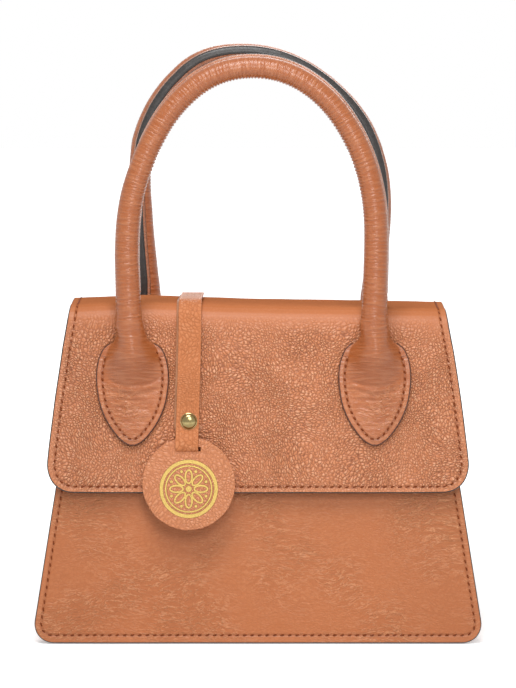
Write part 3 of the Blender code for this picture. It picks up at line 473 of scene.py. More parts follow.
def leather(name, colours, grain=1.5, bump=0.17, stretch=(1.0, 1.0), crease=0.5, ridges=0.0,
            ribs=0.0, rough=0.42, pace=560.0, shine=0.5, pore=0.03, by_pattern=True,
            side_shade=(0.0, 0.0)):
    """Pebbled leather: grain is the size of a pebble and bump its height, in millimetres.

    crease, ridges and ribs say how strongly the creases between pebbles, the long ridges and
    the rings round a tube show, with their painted shade and painted highlights. pace is how
    close the ridges lie. The last argument paints shade onto the left and the right side, one
    share for each.
    """
    main, cooler, highlight_tone, dark, margin_highlight = [paint(*colour) for colour in colours]
    f = Finish(name)
    where = f.on_pattern() if by_pattern else f.in_space()
    # Pebbles: cells whose borders a fine noise bends and whose sizes a coarse one varies.
    warp = f.add("TexNoise", {"Vector": where, "Scale": 220.0, "Detail": 2.0}, 1)
    warp = f.vector("SCALE", f.vector("SUBTRACT", warp, (0.5, 0.5, 0.5)), 0.0024)
    pull = f.add("TexNoise", {"Vector": where, "Scale": 26.0, "Detail": 1.0}, 1)
    bent = f.vector("ADD", f.vector("ADD", where, warp), f.vector("SCALE", pull, 0.02))
    bent = f.vector("MULTIPLY", bent, (1 / stretch[0], 1 / stretch[1], 1.0))
    cells = {"Vector": bent, "Scale": 1000 / grain, "Randomness": 0.8}
    border = f.add("TexVoronoi", cells, feature="DISTANCE_TO_EDGE")
    tone = f.add("SeparateColor", {0: f.add("TexVoronoi", cells, 1)})
    from_middle = f.add("TexVoronoi", cells)
    dome = f.math("ADD", f.times(f.fade(border, 0.0, 0.3), 0.3),
                  f.times(f.fade(from_middle, 0.8, 0.0), 0.7))
    large = f.noise(where, 14.0, 3.0)
    patch = f.noise(where, 45.0, 3.0, 0.6)
    pores = f.noise(where, 2600.0, 2.0, 0.7)
    # The grain fades at the cut edge, in patches and where the leather is taut.
    rim, seam, taut = FAR, FAR, 0.0
    if by_pattern:
        rim, seam, taut = f.number("rim"), f.number("seam"), f.number("taut")
    open_grain = f.times(f.fade(rim, 0.6, 3.0, 0.55, 1.0), f.fade(patch, 0.32, 0.6, 0.7, 1.0),
                         f.fade(taut, 0.0, 1.0, 1.0, 0.08))
    groove = f.fade(f.math("ABSOLUTE", seam), 0.1, 1.0, 1.0, 0.0)
    height = f.math("ADD", f.times(dome, open_grain, bump), f.times(pores, pore))
    height = f.math("SUBTRACT", height, f.times(groove, 0.25))
    shade = f.blend(f.times(f.fade(large, 0.3, 0.7), 0.5), main, cooler)
    # Painted highlight on the tops of the pebbles.
    pebble_highlight = f.times(f.fade(tone, 0.1, 0.9, 0.2, 1.0), f.fade(from_middle, 0.65, 0.0))
    shade = f.blend(f.times(pebble_highlight, open_grain, crease), shade, highlight_tone)
    # Painted shade on the left and the right side, a share for each side.
    if any(side_shade):
        across = f.add("SeparateXYZ", {0: where})
        for side, share in zip((-1, 1), side_shade):
            shade = f.blend(f.fade(across, side * SIDE_SHADE_START, side * SIDE_SHADE_END, 0.0, share),
                            shade, dark)
    # Long ridges get a painted highlight, and the valleys beside them get painted shade.
    if ridges:
        lines = f.vector("MULTIPLY", bent, (0.15 * stretch[0], stretch[1], 1.0))
        line = f.math("ABSOLUTE", f.math("SUBTRACT", f.noise(lines, pace, 3.0, 0.55), 0.5))
        valley = f.fade(line, 0.05, 0.12)
        here = f.times(f.fade(f.noise(where, 24.0, 2.0), 0.4, 0.62, 0.12, 1.0),
                       f.fade(taut, 0.0, 0.8, 1.0, 0.0))
        line = f.times(f.fade(line, 0.0, 0.05, 1.0, 0.0), here)
        height = f.math("ADD", height, f.times(line, 0.14 * ridges))
        shade = f.blend(f.times(line, min(0.45 * ridges, 0.6)), shade, highlight_tone)
        shade = f.blend(f.times(valley, here, 0.14 * ridges), shade, dark)
    # Rings round a tube get a painted highlight.
    if ribs:
        rib = f.noise(f.vector("MULTIPLY", where, (0.13, 1.0, 1.0)), 760.0, 2.0, 0.5)
        height = f.math("ADD", height, f.times(f.fade(rib, 0.35, 0.65), f.times(taut, ribs)))
        shade = f.blend(f.fade(rib, 0.4, 0.7, 0.0, 0.3), shade, highlight_tone)
    # Painted shade goes into the creases, the groove of the seam and the taut parts, and a
    # painted highlight lies along the margin outside the seam.
    creased = f.times(f.fade(border, 0.0, 0.12, 1.0, 0.0), open_grain, crease)
    lit_margin = f.times(f.fade(rim, 0.3, 0.8), f.fade(seam, -1.4, -0.5, 1.0, 0.0))
    for share, colour in ((creased, dark), (f.times(groove, 0.3), dark),
                          (f.times(lit_margin, 0.12), margin_highlight), (f.times(taut, 0.17), dark)):
        shade = f.blend(share, shade, colour)
    roughness = f.math("ADD", f.fade(pores, 0.3, 0.7, rough - 0.05, rough + 0.06),
                       f.times(creased, 0.2))
    return f.finish(shade, roughness, height, 0.001, IOR=1.45, Specular_IOR_Level=shine)


print("leather tree ready")

# %% [markdown]
# Real hide is never quite one colour, and its pebbles hold shade in their creases and catch
# light on their tops. So each leather is given five tones, and the tree spreads them: its
# own colour and a cooler one at random, a lighter one for painted highlights, a dark one for
# painted shade and a pale one for a painted highlight along its margin. The numbers were
# found by rendering, looking and changing a few of them at a time.

# %% Mix the leathers
# Each leather has its main colour, a cooler one, a lighter one for painted highlights, a dark
# one for painted shade in its creases and elsewhere, and a pale one for the painted highlight
# along its margin.
FLAP_COLOURS = ((193, 120, 78), (185, 112, 70), (227, 168, 131), (118, 62, 32), (212, 154, 119))
BODY_COLOURS = ((178, 105, 60), (170, 97, 53), (214, 150, 106), (128, 70, 38), (204, 142, 106))
HANDLE_COLOURS = ((168, 93, 47), (160, 85, 40), (208, 142, 100), (106, 54, 26),
                  (214, 158, 124))
STRAP_COLOURS = ((192, 121, 79), (184, 112, 70), (218, 154, 114), (134, 74, 42),
                 (210, 152, 116))
# The flap gets painted shade mostly on its left side.
FLAP_GRAIN = {"grain": 1.5, "bump": 0.62, "crease": 0.9, "side_shade": (0.15, 0.02)}
FOLD_STEPS = 4
flap_leather = leather("pebbled leather, flap", FLAP_COLOURS, rough=0.38, **FLAP_GRAIN)
# Towards the fold the leather loses its shine and its pores, in steps.
fold_leathers = [leather("pebbled leather, fold " + str(step + 1), FLAP_COLOURS, rough=0.4,
                         shine=0.12 * step, pore=0.003 + 0.007 * step, **FLAP_GRAIN)
                 for step in range(FOLD_STEPS)]
# The body gets painted shade on both its sides.
body_leather = leather("pebbled leather, body", BODY_COLOURS, bump=0.1, stretch=(1.6, 0.8),
                       crease=0.14, ridges=1.2, side_shade=(0.12, 0.12))
side_leather = leather("pebbled leather, gusset", BODY_COLOURS, grain=1.8, bump=0.35,
                       stretch=(1.0, 1.2), crease=0.4)
handle_leather = leather("smooth leather, handles", HANDLE_COLOURS, grain=1.3, bump=0.06,
                         stretch=(1.0, 0.7), crease=0.1, ridges=2.5, ribs=0.16, rough=0.29,
                         pace=400.0, shine=0.62)
strap_leather = leather("pebbled leather, strap", STRAP_COLOURS, grain=1.75, bump=0.4,
                        crease=0.45, rough=0.38, shine=0.1)
tag_leather = leather("pebbled leather, tag", STRAP_COLOURS, grain=1.9, bump=0.4, crease=0.42,
                      rough=0.38, by_pattern=False)
print("leathers:", [m.name for m in bpy.data.materials if "leather," in m.name])

# %% [markdown]
# The cut edges are closed with thick dark paint, which is smooth and slightly glossy. The
# thread is waxed and twisted. The metal is brass with fine scratches. The foil ornament is
# broken by tiny flakes, and sits in a darker press mark.

# %% Paint, thread, metal and foil
def edge_paint(name, dark, light):
    f = Finish(name)
    uneven = f.noise(f.in_space(), 900.0, 3.0)
    colour = f.two_tones(f.fade(uneven, 0.35, 0.7), dark, light)
    return f.finish(colour, f.fade(uneven, 0.3, 0.7, 0.32, 0.42), uneven, 0.00004)


def waxed_thread():
    f = Finish("waxed thread")
    twist = f.add("TexWave", {"Vector": f.on_pattern(), "Scale": 900.0, "Distortion": 1.0}, 1,
                  bands_direction="DIAGONAL")
    colour = f.two_tones(twist, (98, 40, 12), (134, 64, 26))
    return f.finish(colour, 0.65, twist, 0.0001, Specular_IOR_Level=0.2)


def brass_metal():
    f = Finish("brass")
    where = f.in_space()
    scratch = f.noise(f.vector("MULTIPLY", where, (1.0, 1.0, 0.1)), 5000.0, 3.0, 0.7)
    cloud = f.noise(where, 300.0, 2.0)
    colour = f.two_tones(f.fade(cloud, 0.3, 0.7), (162, 146, 102), (136, 120, 80))
    return f.finish(colour, f.fade(scratch, 0.3, 0.7, 0.12, 0.24), scratch, 0.000004,
                    Metallic=1.0)


def gold_foil():
    f = Finish("gold foil")
    flake = f.noise(f.in_space(), 2200.0, 3.0, 0.7)
    colour = f.two_tones(f.fade(flake, 0.6, 0.66), (198, 168, 94), (142, 106, 50))
    return f.finish(colour, f.fade(flake, 0.3, 0.7, 0.25, 0.45), flake, 0.0001,
                    Metallic=0.8)


def pressed_leather():
    f = Finish("pressed leather")
    cloud = f.noise(f.in_space(), 900.0, 3.0)
    colour = f.two_tones(f.fade(cloud, 0.3, 0.7), (120, 70, 34), (146, 88, 46))
    return f.finish(colour, 0.5, cloud, 0.0001)


painted_edge = edge_paint("edge paint", (36, 32, 30), (50, 46, 44))
burnished_edge = edge_paint("burnished edge", (70, 36, 22), (94, 52, 34))
thread, brass, foil, pressed = waxed_thread(), brass_metal(), gold_foil(), pressed_leather()
print("finishes so far:", len(bpy.data.materials))

# %% [markdown]
# Inside, the bag has a woven cotton lining: two waves across each other make the weave, and
# painted shade in the hollows between the threads makes it read as cloth. The underside of
# the flap is suede, whose nap is a fine noise with sheen on top. The boards are grey card,
# and the cords are loosely twisted cotton.

# %% Cloth, suede, board and cord
def woven_cloth():
    f = Finish("lining cloth")
    where = f.on_pattern()
    warp, weft = [f.add("TexWave", {"Vector": where, "Scale": 330.0, "Distortion": 0.6,
                                    "Detail": 1.0}, 1, bands_direction=way) for way in "XY"]
    weave = f.math("MAXIMUM", warp, weft)
    cloud = f.noise(where, 30.0, 3.0)
    colour = f.two_tones(f.fade(cloud, 0.3, 0.7), (176, 148, 118), (160, 132, 102))
    # Painted shade in the hollows between the threads.
    colour = f.blend(f.fade(weave, 0.2, 0.8, 0.45, 0.0), colour, paint(104, 82, 62))
    return f.finish(colour, 0.85, weave, 0.00025, Sheen_Weight=0.25)


def nap(name, dark, light):
    f = Finish(name)
    where = f.on_pattern()
    fibres = f.noise(where, 2400.0, 4.0, 0.75)
    stroke = f.noise(where, 70.0, 3.0, 0.6)
    colour = f.two_tones(f.fade(stroke, 0.35, 0.65), dark, light)
    colour = f.blend(f.fade(fibres, 0.35, 0.65, 0.35, 0.0), colour, paint(110, 72, 46))
    return f.finish(colour, 0.9, fibres, 0.0003, Sheen_Weight=0.5, Sheen_Roughness=0.4)


def card_board():
    f = Finish("grey board")
    fibres = f.noise(f.in_space(), 900.0, 5.0, 0.7)
    colour = f.two_tones(f.fade(fibres, 0.35, 0.65), (140, 128, 112), (168, 156, 140))
    return f.finish(colour, 0.85, fibres, 0.0002)


def cotton_cord():
    f = Finish("cotton cord")
    lay = f.add("TexWave", {"Vector": f.in_space(), "Scale": 180.0, "Distortion": 2.0}, 1,
                bands_direction="DIAGONAL")
    colour = f.two_tones(lay, (196, 184, 160), (226, 216, 196))
    return f.finish(colour, 0.9, lay, 0.0004)


lining_cloth, board, cord_cotton = woven_cloth(), card_board(), cotton_cord()
suede = nap("suede", (176, 122, 86), (196, 142, 104))
flesh_side = nap("flesh side", (164, 112, 80), (184, 132, 98))
print("finishes:", len(bpy.data.materials))

# %% [markdown]
# ## The skin: back panel and flap in one
# One leather climbs the back of the bag, bends over the top and hangs down the front as the
# flap. It is drawn as a side view line with two rounded corners, and a half width for each
# place along that line. A flat pattern place (across, along) then gives a point in space, so
# the sheet, its stitches and the strap on it all come from the same function. The flap is
# stiff, but its top isn't flat: it rises a little on the left and falls on the right.

# %% Side view and widths of the skin
SETBACK, BASE_DEPTH_HALF = 3.032, 48.0
BACK_FOOT = (BASE_DEPTH_HALF + SETBACK, 0.75)
REAR_CORNER = (35.47 + SETBACK, 169.29)
FRONT_CORNER = (-40.4 + SETBACK, 171.45)
HEM = (-49.83 + SETBACK, 78.0)
REAR_BEND, FRONT_BEND = 6.0, 9.0
SIDE_SLOPE, BASE_HALF, CORNER = 0.15890, 114.7, 11.0
skin_line, skin_along = rounded_line([BACK_FOOT, REAR_CORNER, FRONT_CORNER, HEM],
                                     [REAR_BEND, FRONT_BEND], 0.5)
SKIN_LENGTH = skin_along[-1]
# The bends are where the line reaches furthest up and back, and up and forwards.
rear_at = skin_along[np.argmax(skin_line @ np.array([1.0, 2.2]))]
front_at = skin_along[np.argmax(skin_line @ np.array([-1.0, 0.9]))]
FOLD_END = front_at + 9.0
REAR_HALF, REAR_TOP, REAR_TURNS_IN, HEM_CORNER = 97.0, 169.0, 138, 15.0
FLAP_WIDTHS = ([78, 87, 100, 112, 125, 137, 150, 162, 170.5, 175],
               [108.2, 106.5, 105.2, 103.7, 102.0, 100.2, 98.2, 96.0, 94.7, 94.1])


def side_half(height):
    return BASE_HALF - SIDE_SLOPE * height


def corner_half(distance, half, radius):
    """Half width near an end with round corners, at a distance from that end."""
    inside = np.clip(radius - distance, 0, radius)
    return half - radius + np.sqrt(radius ** 2 - inside ** 2)


def skin_half(along):
    height = np.interp(along, skin_along, skin_line[:, 1])
    turned_in = soft_step((height - REAR_TURNS_IN) / (REAR_TOP - REAR_TURNS_IN))
    body = side_half(height) + (REAR_HALF - side_half(REAR_TOP)) * turned_in
    front = np.interp(height, *FLAP_WIDTHS)
    over = soft_step((along - rear_at) / (front_at - rear_at))
    half = corner_half(along, body + (front - body) * over, CORNER)
    return np.where(along > rear_at, corner_half(SKIN_LENGTH - along, half, HEM_CORNER), half)


print("skin length", round(SKIN_LENGTH, 1), "rear bend at", rear_at, "front bend at", front_at)

# %% [markdown]
# The skin is stiff leather, but it isn't a folded card. Its top rises and falls, the flap
# hangs in shallow waves with a slight belly, and its side edges curl towards the bag. All of
# that is added here to the plain side view, so whatever is set on the skin follows it.

# %% The skin as a surface
TOP_RISE = ([-95, -76, -58, -30, -4, 30, 70, 95], [0.3, 1.1, 1.7, 0.7, -0.2, -0.7, -1.4, -1.9])
TOP_FADE, TOP_PAST, TOP_UNEVEN = 26, 6, 0.10
HANG_FROM, HANG_FADE = 4, 30
HANG_WAVES = ((62, 3, 0.28), (21, 4, 0.07))  # how wide, which seed, how high
BELLY, BELLY_WIDTH = 0.45, 60.0
EDGE_CURL, CURL_FROM, CURL_FADE = 1.1, 72, 34
BACK_BULGE, BACK_UNEVEN, BACK_FADE = 0.5, 0.35, 40


def skin_point(across, along):
    """Places on the outer face of the skin for places on its flat pattern."""
    y = np.interp(along, skin_along, skin_line[:, 0])
    z = np.interp(along, skin_along, skin_line[:, 1])
    on_top = (soft_step((along - rear_at + TOP_FADE) / TOP_FADE)
              * (1 - soft_step((along - front_at - TOP_PAST) / TOP_FADE)))
    z = z + np.interp(across, *TOP_RISE) * on_top
    z = z + TOP_UNEVEN * ripple(across, along, 18, 6) * on_top
    front = soft_step((along - front_at - HANG_FROM) / HANG_FADE)
    hang = sum(ripple(across, along, size, seed) * high for size, seed, high in HANG_WAVES)
    low = np.clip((along - FOLD_END) / (SKIN_LENGTH - FOLD_END), 0, 1)
    curl = EDGE_CURL * soft_step((np.abs(across) - CURL_FROM) / CURL_FADE)
    y = y - front * (hang + BELLY * low ** 2 * np.cos(across / BELLY_WIDTH) - curl)
    back = soft_step((rear_at - along) / BACK_FADE)
    y = y + back * (BACK_BULGE + BACK_UNEVEN * ripple(across, along, 70, 5))
    return np.stack([across + 0 * y, y, z], -1)


def face_of(surface, across, along, step=0.5):
    """The direction that a surface faces, at places on its flat pattern."""
    down = surface(across, along + step) - surface(across, along - step)
    right = surface(across + step, along) - surface(across - step, along)
    return unit(np.cross(down, right))


def skin_out(across, along):
    return face_of(skin_point, across, along)


top_middle = skin_point(np.array([0.0]), np.array([(rear_at + front_at) / 2]))[0]
print("middle of the top, mm:", top_middle.round(1))

# %% [markdown]
# The leather is laid out as rows from the foot of the back to the hem of the flap, closer
# together in the round corners. Where it bends over the top it is pulled taut: its grain
# goes flat and loses its shine towards the fold. A single dull leather there would end in a
# hard line, so the faces take duller leathers one after another.

# %% Make the skin
SKIN_LEATHER, FLAP_DOUBLED, SKIN_BEAD, SKIN_SEAM = 1.6, 1.1, 0.7, (3.3, 2.6)
TAUT_SHIFT, TAUT_BEFORE, TAUT_AFTER, TAUT_BESIDE = 3, 13, 21, 9  # round the bends
SHINE_FROM, SHINE_BAND = 6, 2.6  # where the shine starts before the bend, and each step


def end_rows(length, radius_start, radius_end, step):
    """Places along a sheet, closer together in the round corners at its ends."""
    turns = np.sin(np.linspace(0, math.pi / 2, 12))
    start = radius_start * (1 - turns[::-1])
    end = length - radius_end * (1 - turns)
    count = int((length - radius_start - radius_end) / step)
    return np.concatenate([start[:-1], np.linspace(radius_start, length - radius_end, count),
                           end[1:]])


def flat_places(across, along):
    """A grid of places on a flat pattern."""
    return np.stack(np.broadcast_arrays(across, along), -1)


SPREAD = np.linspace(-1, 1, 117)
skin_rows = end_rows(SKIN_LENGTH, CORNER, HEM_CORNER, 1.6)
skin_flat = flat_places(SPREAD * skin_half(skin_rows)[:, None], skin_rows[:, None])
fine = np.linspace(0, SKIN_LENGTH, int(SKIN_LENGTH / 0.5))
fine = np.unique(np.concatenate([fine, end_rows(SKIN_LENGTH, CORNER, HEM_CORNER, 0.5)]))
skin_outline = both_sides(skin_half(fine), fine)
skin_numbers = edge_numbers(skin_flat, skin_outline, SKIN_SEAM)
# The taut parts round the bends also get painted shade from the leather.
past = skin_flat[..., 1] - front_at + TAUT_SHIFT
over_front = 1 - soft_step(np.abs(past) / np.where(past > 0, TAUT_AFTER, TAUT_BEFORE))
off_top = np.maximum(np.abs(skin_flat[..., 1] - (rear_at + front_at) / 2)
                     - (front_at - rear_at) / 2, 0)
skin_numbers["taut"] = np.maximum(over_front, 1 - soft_step(off_top / TAUT_BESIDE))
flap_part = soft_step((skin_flat[..., 1] - rear_at - 2) / 8)
skin = slab("flap_and_back", skin_point(skin_flat[..., 0], skin_flat[..., 1]),
            SKIN_LEATHER + FLAP_DOUBLED * flap_part, skin_flat, skin_numbers, bead=SKIN_BEAD,
            finishes=(flap_leather, painted_edge, suede, *fold_leathers))
steps = np.clip((skin_rows[:-1] - front_at + SHINE_FROM) // SHINE_BAND, 0, FOLD_STEPS)
steps[skin_rows[:-1] < rear_at - 4] = FOLD_STEPS
for place, step in enumerate(np.repeat(steps.astype(int), len(SPREAD) - 1).tolist()):
    skin.data.polygons[place].material_index = 3 + step if step < FOLD_STEPS else 0


def over_hinge(piece):
    """Bakes the piece's place into its points."""
    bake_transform(piece)


over_hinge(skin)
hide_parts("flap", "flap_lining", "back_panel")
print("skin:", len(skin.data.vertices), "points")

# %% [markdown]
# One seam holds the skin's layers together all round. Its stitches are set out on the flat
# pattern and placed by the same function as the leather, so they lie on it in every bend.

# %% Stitch the skin all round
STITCH_PITCH, STITCH_SUNK = 3.8, 0.12


def seam_stitches(name, outline, seam, pitch, surface, out, keep=None, **sizes):
    """Stitches along the seam of a flat pattern, set on the surface that it makes."""
    line = seam_line(outline, seam, pitch)
    ahead = line + unit(np.roll(line, -1, axis=0) - np.roll(line, 1, axis=0)) * 0.4
    if keep is not None:
        kept = keep(line)
        line, ahead = line[kept], ahead[kept]
    places, outs = surface(*line.T), out(*line.T)
    return stitches(name, places - outs * STITCH_SUNK, surface(*ahead.T) - places, outs, thread,
                    **sizes)


skin_stitches = seam_stitches("flap_and_back_stitches", skin_outline, SKIN_SEAM, STITCH_PITCH,
                              skin_point, skin_out)
over_hinge(skin_stitches)
print("faces of the skin's stitches:", len(skin_stitches.data.polygons))

# %% [markdown]
# ## The front panel
# The front is one stiff leather with round lower corners. It bulges by less than a
# millimetre between its edges, and its grain is stretched sideways into fine creases. It is
# drawn like the skin, from a half width for each height, and sewn all round.

# %% Make the front panel and its stitches
WALL_SLOPE, PANEL_TOP, PANEL_FOOT = 0.07331, 163.0, 0.6
PANEL_LEATHER, PANEL_BEAD, PANEL_SEAM, PANEL_BULGE = 1.6, 0.55, (2.9, 3.6), 0.85


def depth_half(height):
    return BASE_DEPTH_HALF - WALL_SLOPE * height


def front_point(across, height):
    share = np.clip(across / side_half(height), -1, 1)
    bulge = PANEL_BULGE * (1 - share ** 4) * np.sin(math.pi * np.clip(height / 150, 0, 1))
    uneven = 0.14 * ripple(across, height, 48, 8) * (1 - share ** 8)
    y = SETBACK - depth_half(height) - bulge - uneven
    return np.stack([across + 0 * y, y, height + 0 * y], -1)


def front_out(across, height):
    """Heights count upwards here, so the panel faces the other way."""
    return -face_of(front_point, across, height)


def panel_half(height):
    return corner_half(height - PANEL_FOOT, side_half(height), CORNER)


front_rows = PANEL_TOP - end_rows(PANEL_TOP - PANEL_FOOT, 2.0, CORNER, 1.7)
front_flat = flat_places(SPREAD * panel_half(front_rows)[:, None], front_rows[:, None])
fine = PANEL_TOP - end_rows(PANEL_TOP - PANEL_FOOT, 2.0, CORNER, 0.5)
panel_outline = both_sides(panel_half(fine), fine)
front_panel = slab("front_leather", front_point(front_flat[..., 0], front_flat[..., 1]),
                   PANEL_LEATHER, front_flat,
                   edge_numbers(front_flat, panel_outline, PANEL_SEAM), bead=PANEL_BEAD,
                   finishes=(body_leather, painted_edge, flesh_side))
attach(front_panel, "bag")
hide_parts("front_panel")
front_stitches = seam_stitches("front_stitches", panel_outline, PANEL_SEAM, STITCH_PITCH,
                               front_point, front_out)
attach(front_stitches, "bag")
print("front panel:", len(front_panel.data.vertices), "points")

# %% [markdown]
# ## The gusset
# One strip of leather runs down a side, along the bottom and up the other side. Its edges
# turn outwards and are sewn to the panels, and its sides fold softly inwards towards the
# mouth, as every soft-sided bag does. A cross-section is drawn once, flange, wall and
# flange, and carried along the seam line. The fold deepens from the pleat's foot up.

# %% The line that the gusset follows
SEAM_WIDTH, GUSSET_TOP, PLEAT_FOOT, PLEAT_DEPTH = 5.0, 160.0, 60.0, 9.0
GUSSET_LEATHER, GUSSET_BEAD, PANEL_INSIDE = 1.4, 0.3, 2.6


def seam_track(inset, top, step):
    """Points (x, z) and outward directions down the right side, along the floor and up."""
    stretch, tilt = math.hypot(1, SIDE_SLOPE), math.atan(SIDE_SLOPE)
    radius = CORNER - inset
    across = BASE_HALF - SIDE_SLOPE * (inset + radius) - (inset + radius) * stretch
    foot = CORNER * (1 + math.sin(tilt))
    down = np.linspace(top, foot, int((top - foot) / step))
    level = 0 * down
    side = np.stack([side_half(down) - inset * stretch, down, level + math.cos(tilt),
                     level + math.sin(tilt)], -1)
    turn = np.linspace(tilt, -math.pi / 2, 12)[1:]
    nx, nz = np.cos(turn), np.sin(turn)
    corner = np.stack([across + radius * nx, inset + radius + radius * nz, nx, nz], -1)
    floor = np.linspace(across, 0, int(across / step))[1:]
    bottom = np.stack([floor, np.full(len(floor), inset), 0 * floor, 0 * floor - 1], -1)
    right = np.concatenate([side, corner, bottom])
    return np.concatenate([right, (right * [-1, 1, -1, 1])[-2::-1]])


def pleat(height):
    return PLEAT_DEPTH * soft_step((height - PLEAT_FOOT) / (GUSSET_TOP - PLEAT_FOOT))


track = seam_track(SEAM_WIDTH, GUSSET_TOP, 2.6)
print("gusset rows:", len(track))

# %% [markdown]
# Now the section is carried along that line. Each row starts with a flange that sticks out
# beside the panel, bends into the wall, dips inwards as deep as the pleat is at that height
# and ends in the other flange. The wall's sway fades at the flanges, which are sewn down.

# %% Make the gusset
FLANGE_BEND, PLEAT_SHARP = 2.2, 0.16
bow = np.linspace(0, math.pi / 2, 6)
edge_out = np.concatenate([[4.7, 3.7, 2.9], FLANGE_BEND * (1 - np.sin(bow))])
edge_in = np.concatenate([[0, 0, 0], FLANGE_BEND * (1 - np.cos(bow))])
wall = np.linspace(-1, 1, 27)[1:-1]
peak = math.hypot(1, PLEAT_SHARP)
dip = (peak - np.sqrt(wall ** 2 + PLEAT_SHARP ** 2)) / (peak - PLEAT_SHARP)
gusset_rows, gusset_flat = [], []
for (x, z, nx, nz), at in zip(track, lengths_along(track[:, :2])):
    outs = np.concatenate([edge_out, -pleat(z) * dip, edge_out[::-1]])
    depth = depth_half(z + nz * outs) - PANEL_INSIDE
    end_depth = depth[len(edge_out)] - FLANGE_BEND
    ys = np.concatenate([-depth[:len(edge_out)] + edge_in, wall * end_depth,
                         depth[-len(edge_out):] - edge_in[::-1]])
    sway = 0.35 * ripple(ys, at, 34, 11)
    sway[:len(edge_out)] *= edge_in / FLANGE_BEND
    sway[-len(edge_out):] *= edge_in[::-1] / FLANGE_BEND
    outs = outs + sway
    gusset_rows.append(np.stack([x + nx * outs, ys + SETBACK, z + nz * outs], -1))
    gusset_flat.append(flat_places(ys, at))
gusset_rows, gusset_flat = np.array(gusset_rows), np.array(gusset_flat)
gusset_rows = gusset_rows + face_normals(gusset_rows) * GUSSET_LEATHER / 2
gusset = slab("gusset_leather", gusset_rows, GUSSET_LEATHER, gusset_flat, bead=GUSSET_BEAD,
              finishes=(side_leather, painted_edge, flesh_side))
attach(gusset, "bag")
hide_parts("gusset")
print("gusset:", len(gusset.data.vertices), "points")

# %% [markdown]
# ## The lining and its pocket
# The lining is a cotton bag that hangs inside, open at the mouth. It is loose, so it
# wrinkles a little between the boards. It is drawn as rings from the middle of the floor out
# and then up the walls, with small soft waves pushed inwards only, so that it stays clear of
# the boards. A slip pocket is sewn to its back wall.

# %% Make the lining
LINING_DEPTH = 1.6 + 0.3 + 1.2 + 0.3 + 0.3  # leather, gap, board, gap and half the cloth
LINING_CLOTH, LINING_INSET, LINING_FLOOR = 0.6, SEAM_WIDTH + 1.0 + 0.9, 7.9
LINING_CORNER = 4.1
POCKET_HALF, POCKET_TOP, POCKET_HEIGHT, POCKET_CORNER = 55.0, 123.0, 70.0, 8.0
POCKET_MIDDLE = POCKET_TOP - POCKET_HEIGHT / 2


def lining_across(height, depth):
    """Half the lining's width, less the fold of the gusset, which is deepest in the middle."""
    fold = pleat(height) * (1 - depth / (depth_half(height) - PANEL_INSIDE))
    straight = side_half(height) - LINING_INSET * math.hypot(1, SIDE_SLOPE) - fold
    rounding = np.sqrt(np.clip(LINING_CORNER ** 2 - (CORNER - height) ** 2, 0, None))
    return np.where(height > CORNER, straight,
                    side_half(CORNER) - LINING_INSET - LINING_CORNER + rounding)


def lining_ring(height, share=1.0):
    """One ring of the lining, counterclockwise seen from above."""
    depth = depth_half(height) - LINING_DEPTH
    sides = np.linspace(-1, 1, 34)[1:-1] * depth
    side = lining_across(np.full_like(sides, height), np.abs(sides))
    reach = lining_across(np.array([height]), depth)[0]
    half = np.concatenate([flat_places(np.linspace(-1, 1, 62) * reach, -depth),
                           np.stack([side, sides], -1)])
    ring = np.concatenate([half, -half])
    return np.concatenate([ring * share + [0, SETBACK], np.full((len(ring), 1), height)], -1)


floor_rings = [lining_ring(LINING_FLOOR, share) for share in (0.02, 0.25, 0.5, 0.75, 0.94)]
wall_rings = [lining_ring(height) for height in
              np.concatenate([[8.0, 8.8, 10.0], np.linspace(12, GUSSET_TOP, 62)])]
lining_rows = np.array(floor_rings + wall_rings)[::-1]
about = np.cumsum(np.linalg.norm(
    np.diff(lining_rows[0], axis=0, append=lining_rows[0][:1]), axis=1))
drop = np.arange(len(lining_rows))[:, None] * 2.4
# Long upright waves, with smaller ones over them, fade at the floor and at the mouth.
waves = ripple(about[None], drop * 0.35, 24, 21) + 0.6 * ripple(about[None], drop, 13, 22)
height = lining_rows[..., 2:]
loose = soft_step((height - 12) / 30) * soft_step((GUSSET_TOP - height) / 9)
# Behind the pocket the lining stays flat.
beside = np.maximum(np.abs(lining_rows[..., :1]) - POCKET_HALF,
                    np.abs(height - POCKET_MIDDLE) - POCKET_HEIGHT / 2)
loose = loose * np.where(lining_rows[..., 1:2] > 20, soft_step(beside / 12), 1)
inwards = -face_normals(lining_rows, closed=True)
lining_rows = lining_rows + inwards * (0.25 + 0.55 * np.clip(waves, -0.4, 2)[..., None]) * loose
lining = slab("lining_bag", lining_rows, LINING_CLOTH, flat_places(about, drop), bead=0,
              closed=True, finishes=(lining_cloth, lining_cloth, lining_cloth))
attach(lining, "bag")
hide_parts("lining")
print("lining:", len(lining.data.vertices), "points")

# %% [markdown]
# A slip pocket is a flat piece of the same cloth with round lower corners. It is sewn to the
# back wall at its sides and its foot, so only its mouth gapes. Its hem is a seam of its own.

# %% Make the pocket
POCKET_CLOTH, POCKET_BEAD, POCKET_GAPE = 0.8, 0.12, 1.7
POCKET_SEAM, POCKET_PITCH, POCKET_HEM, HEM_REACH = (2.0, 2.0), 2.8, 9.0, 52
POCKET_THREAD = {"length": 1.9, "width": 0.45}


def pocket_point(across, drop):
    """Places on the pocket's face, which looks forwards. Its mouth gapes a little."""
    height = POCKET_TOP - drop
    wall = SETBACK + depth_half(height) - LINING_DEPTH - LINING_CLOTH
    sewn = np.clip(np.minimum(POCKET_HALF - np.abs(across), POCKET_HEIGHT - drop) / 14, 0, 1)
    gape = POCKET_GAPE * (1 - (across / POCKET_HALF) ** 2) * (1 - soft_step(drop / 45))
    soft = 0.3 * (1 + ripple(across, drop * 0.6, 26, 23)) * soft_step(sewn)
    return np.stack([across, wall - 0.9 - gape - soft, height + 0 * across], -1)


def pocket_out(across, drop):
    """The pocket faces the same way everywhere, since the wall behind it is flat."""
    return np.broadcast_to([0.0, -1.0, -WALL_SLOPE], (len(across), 3))


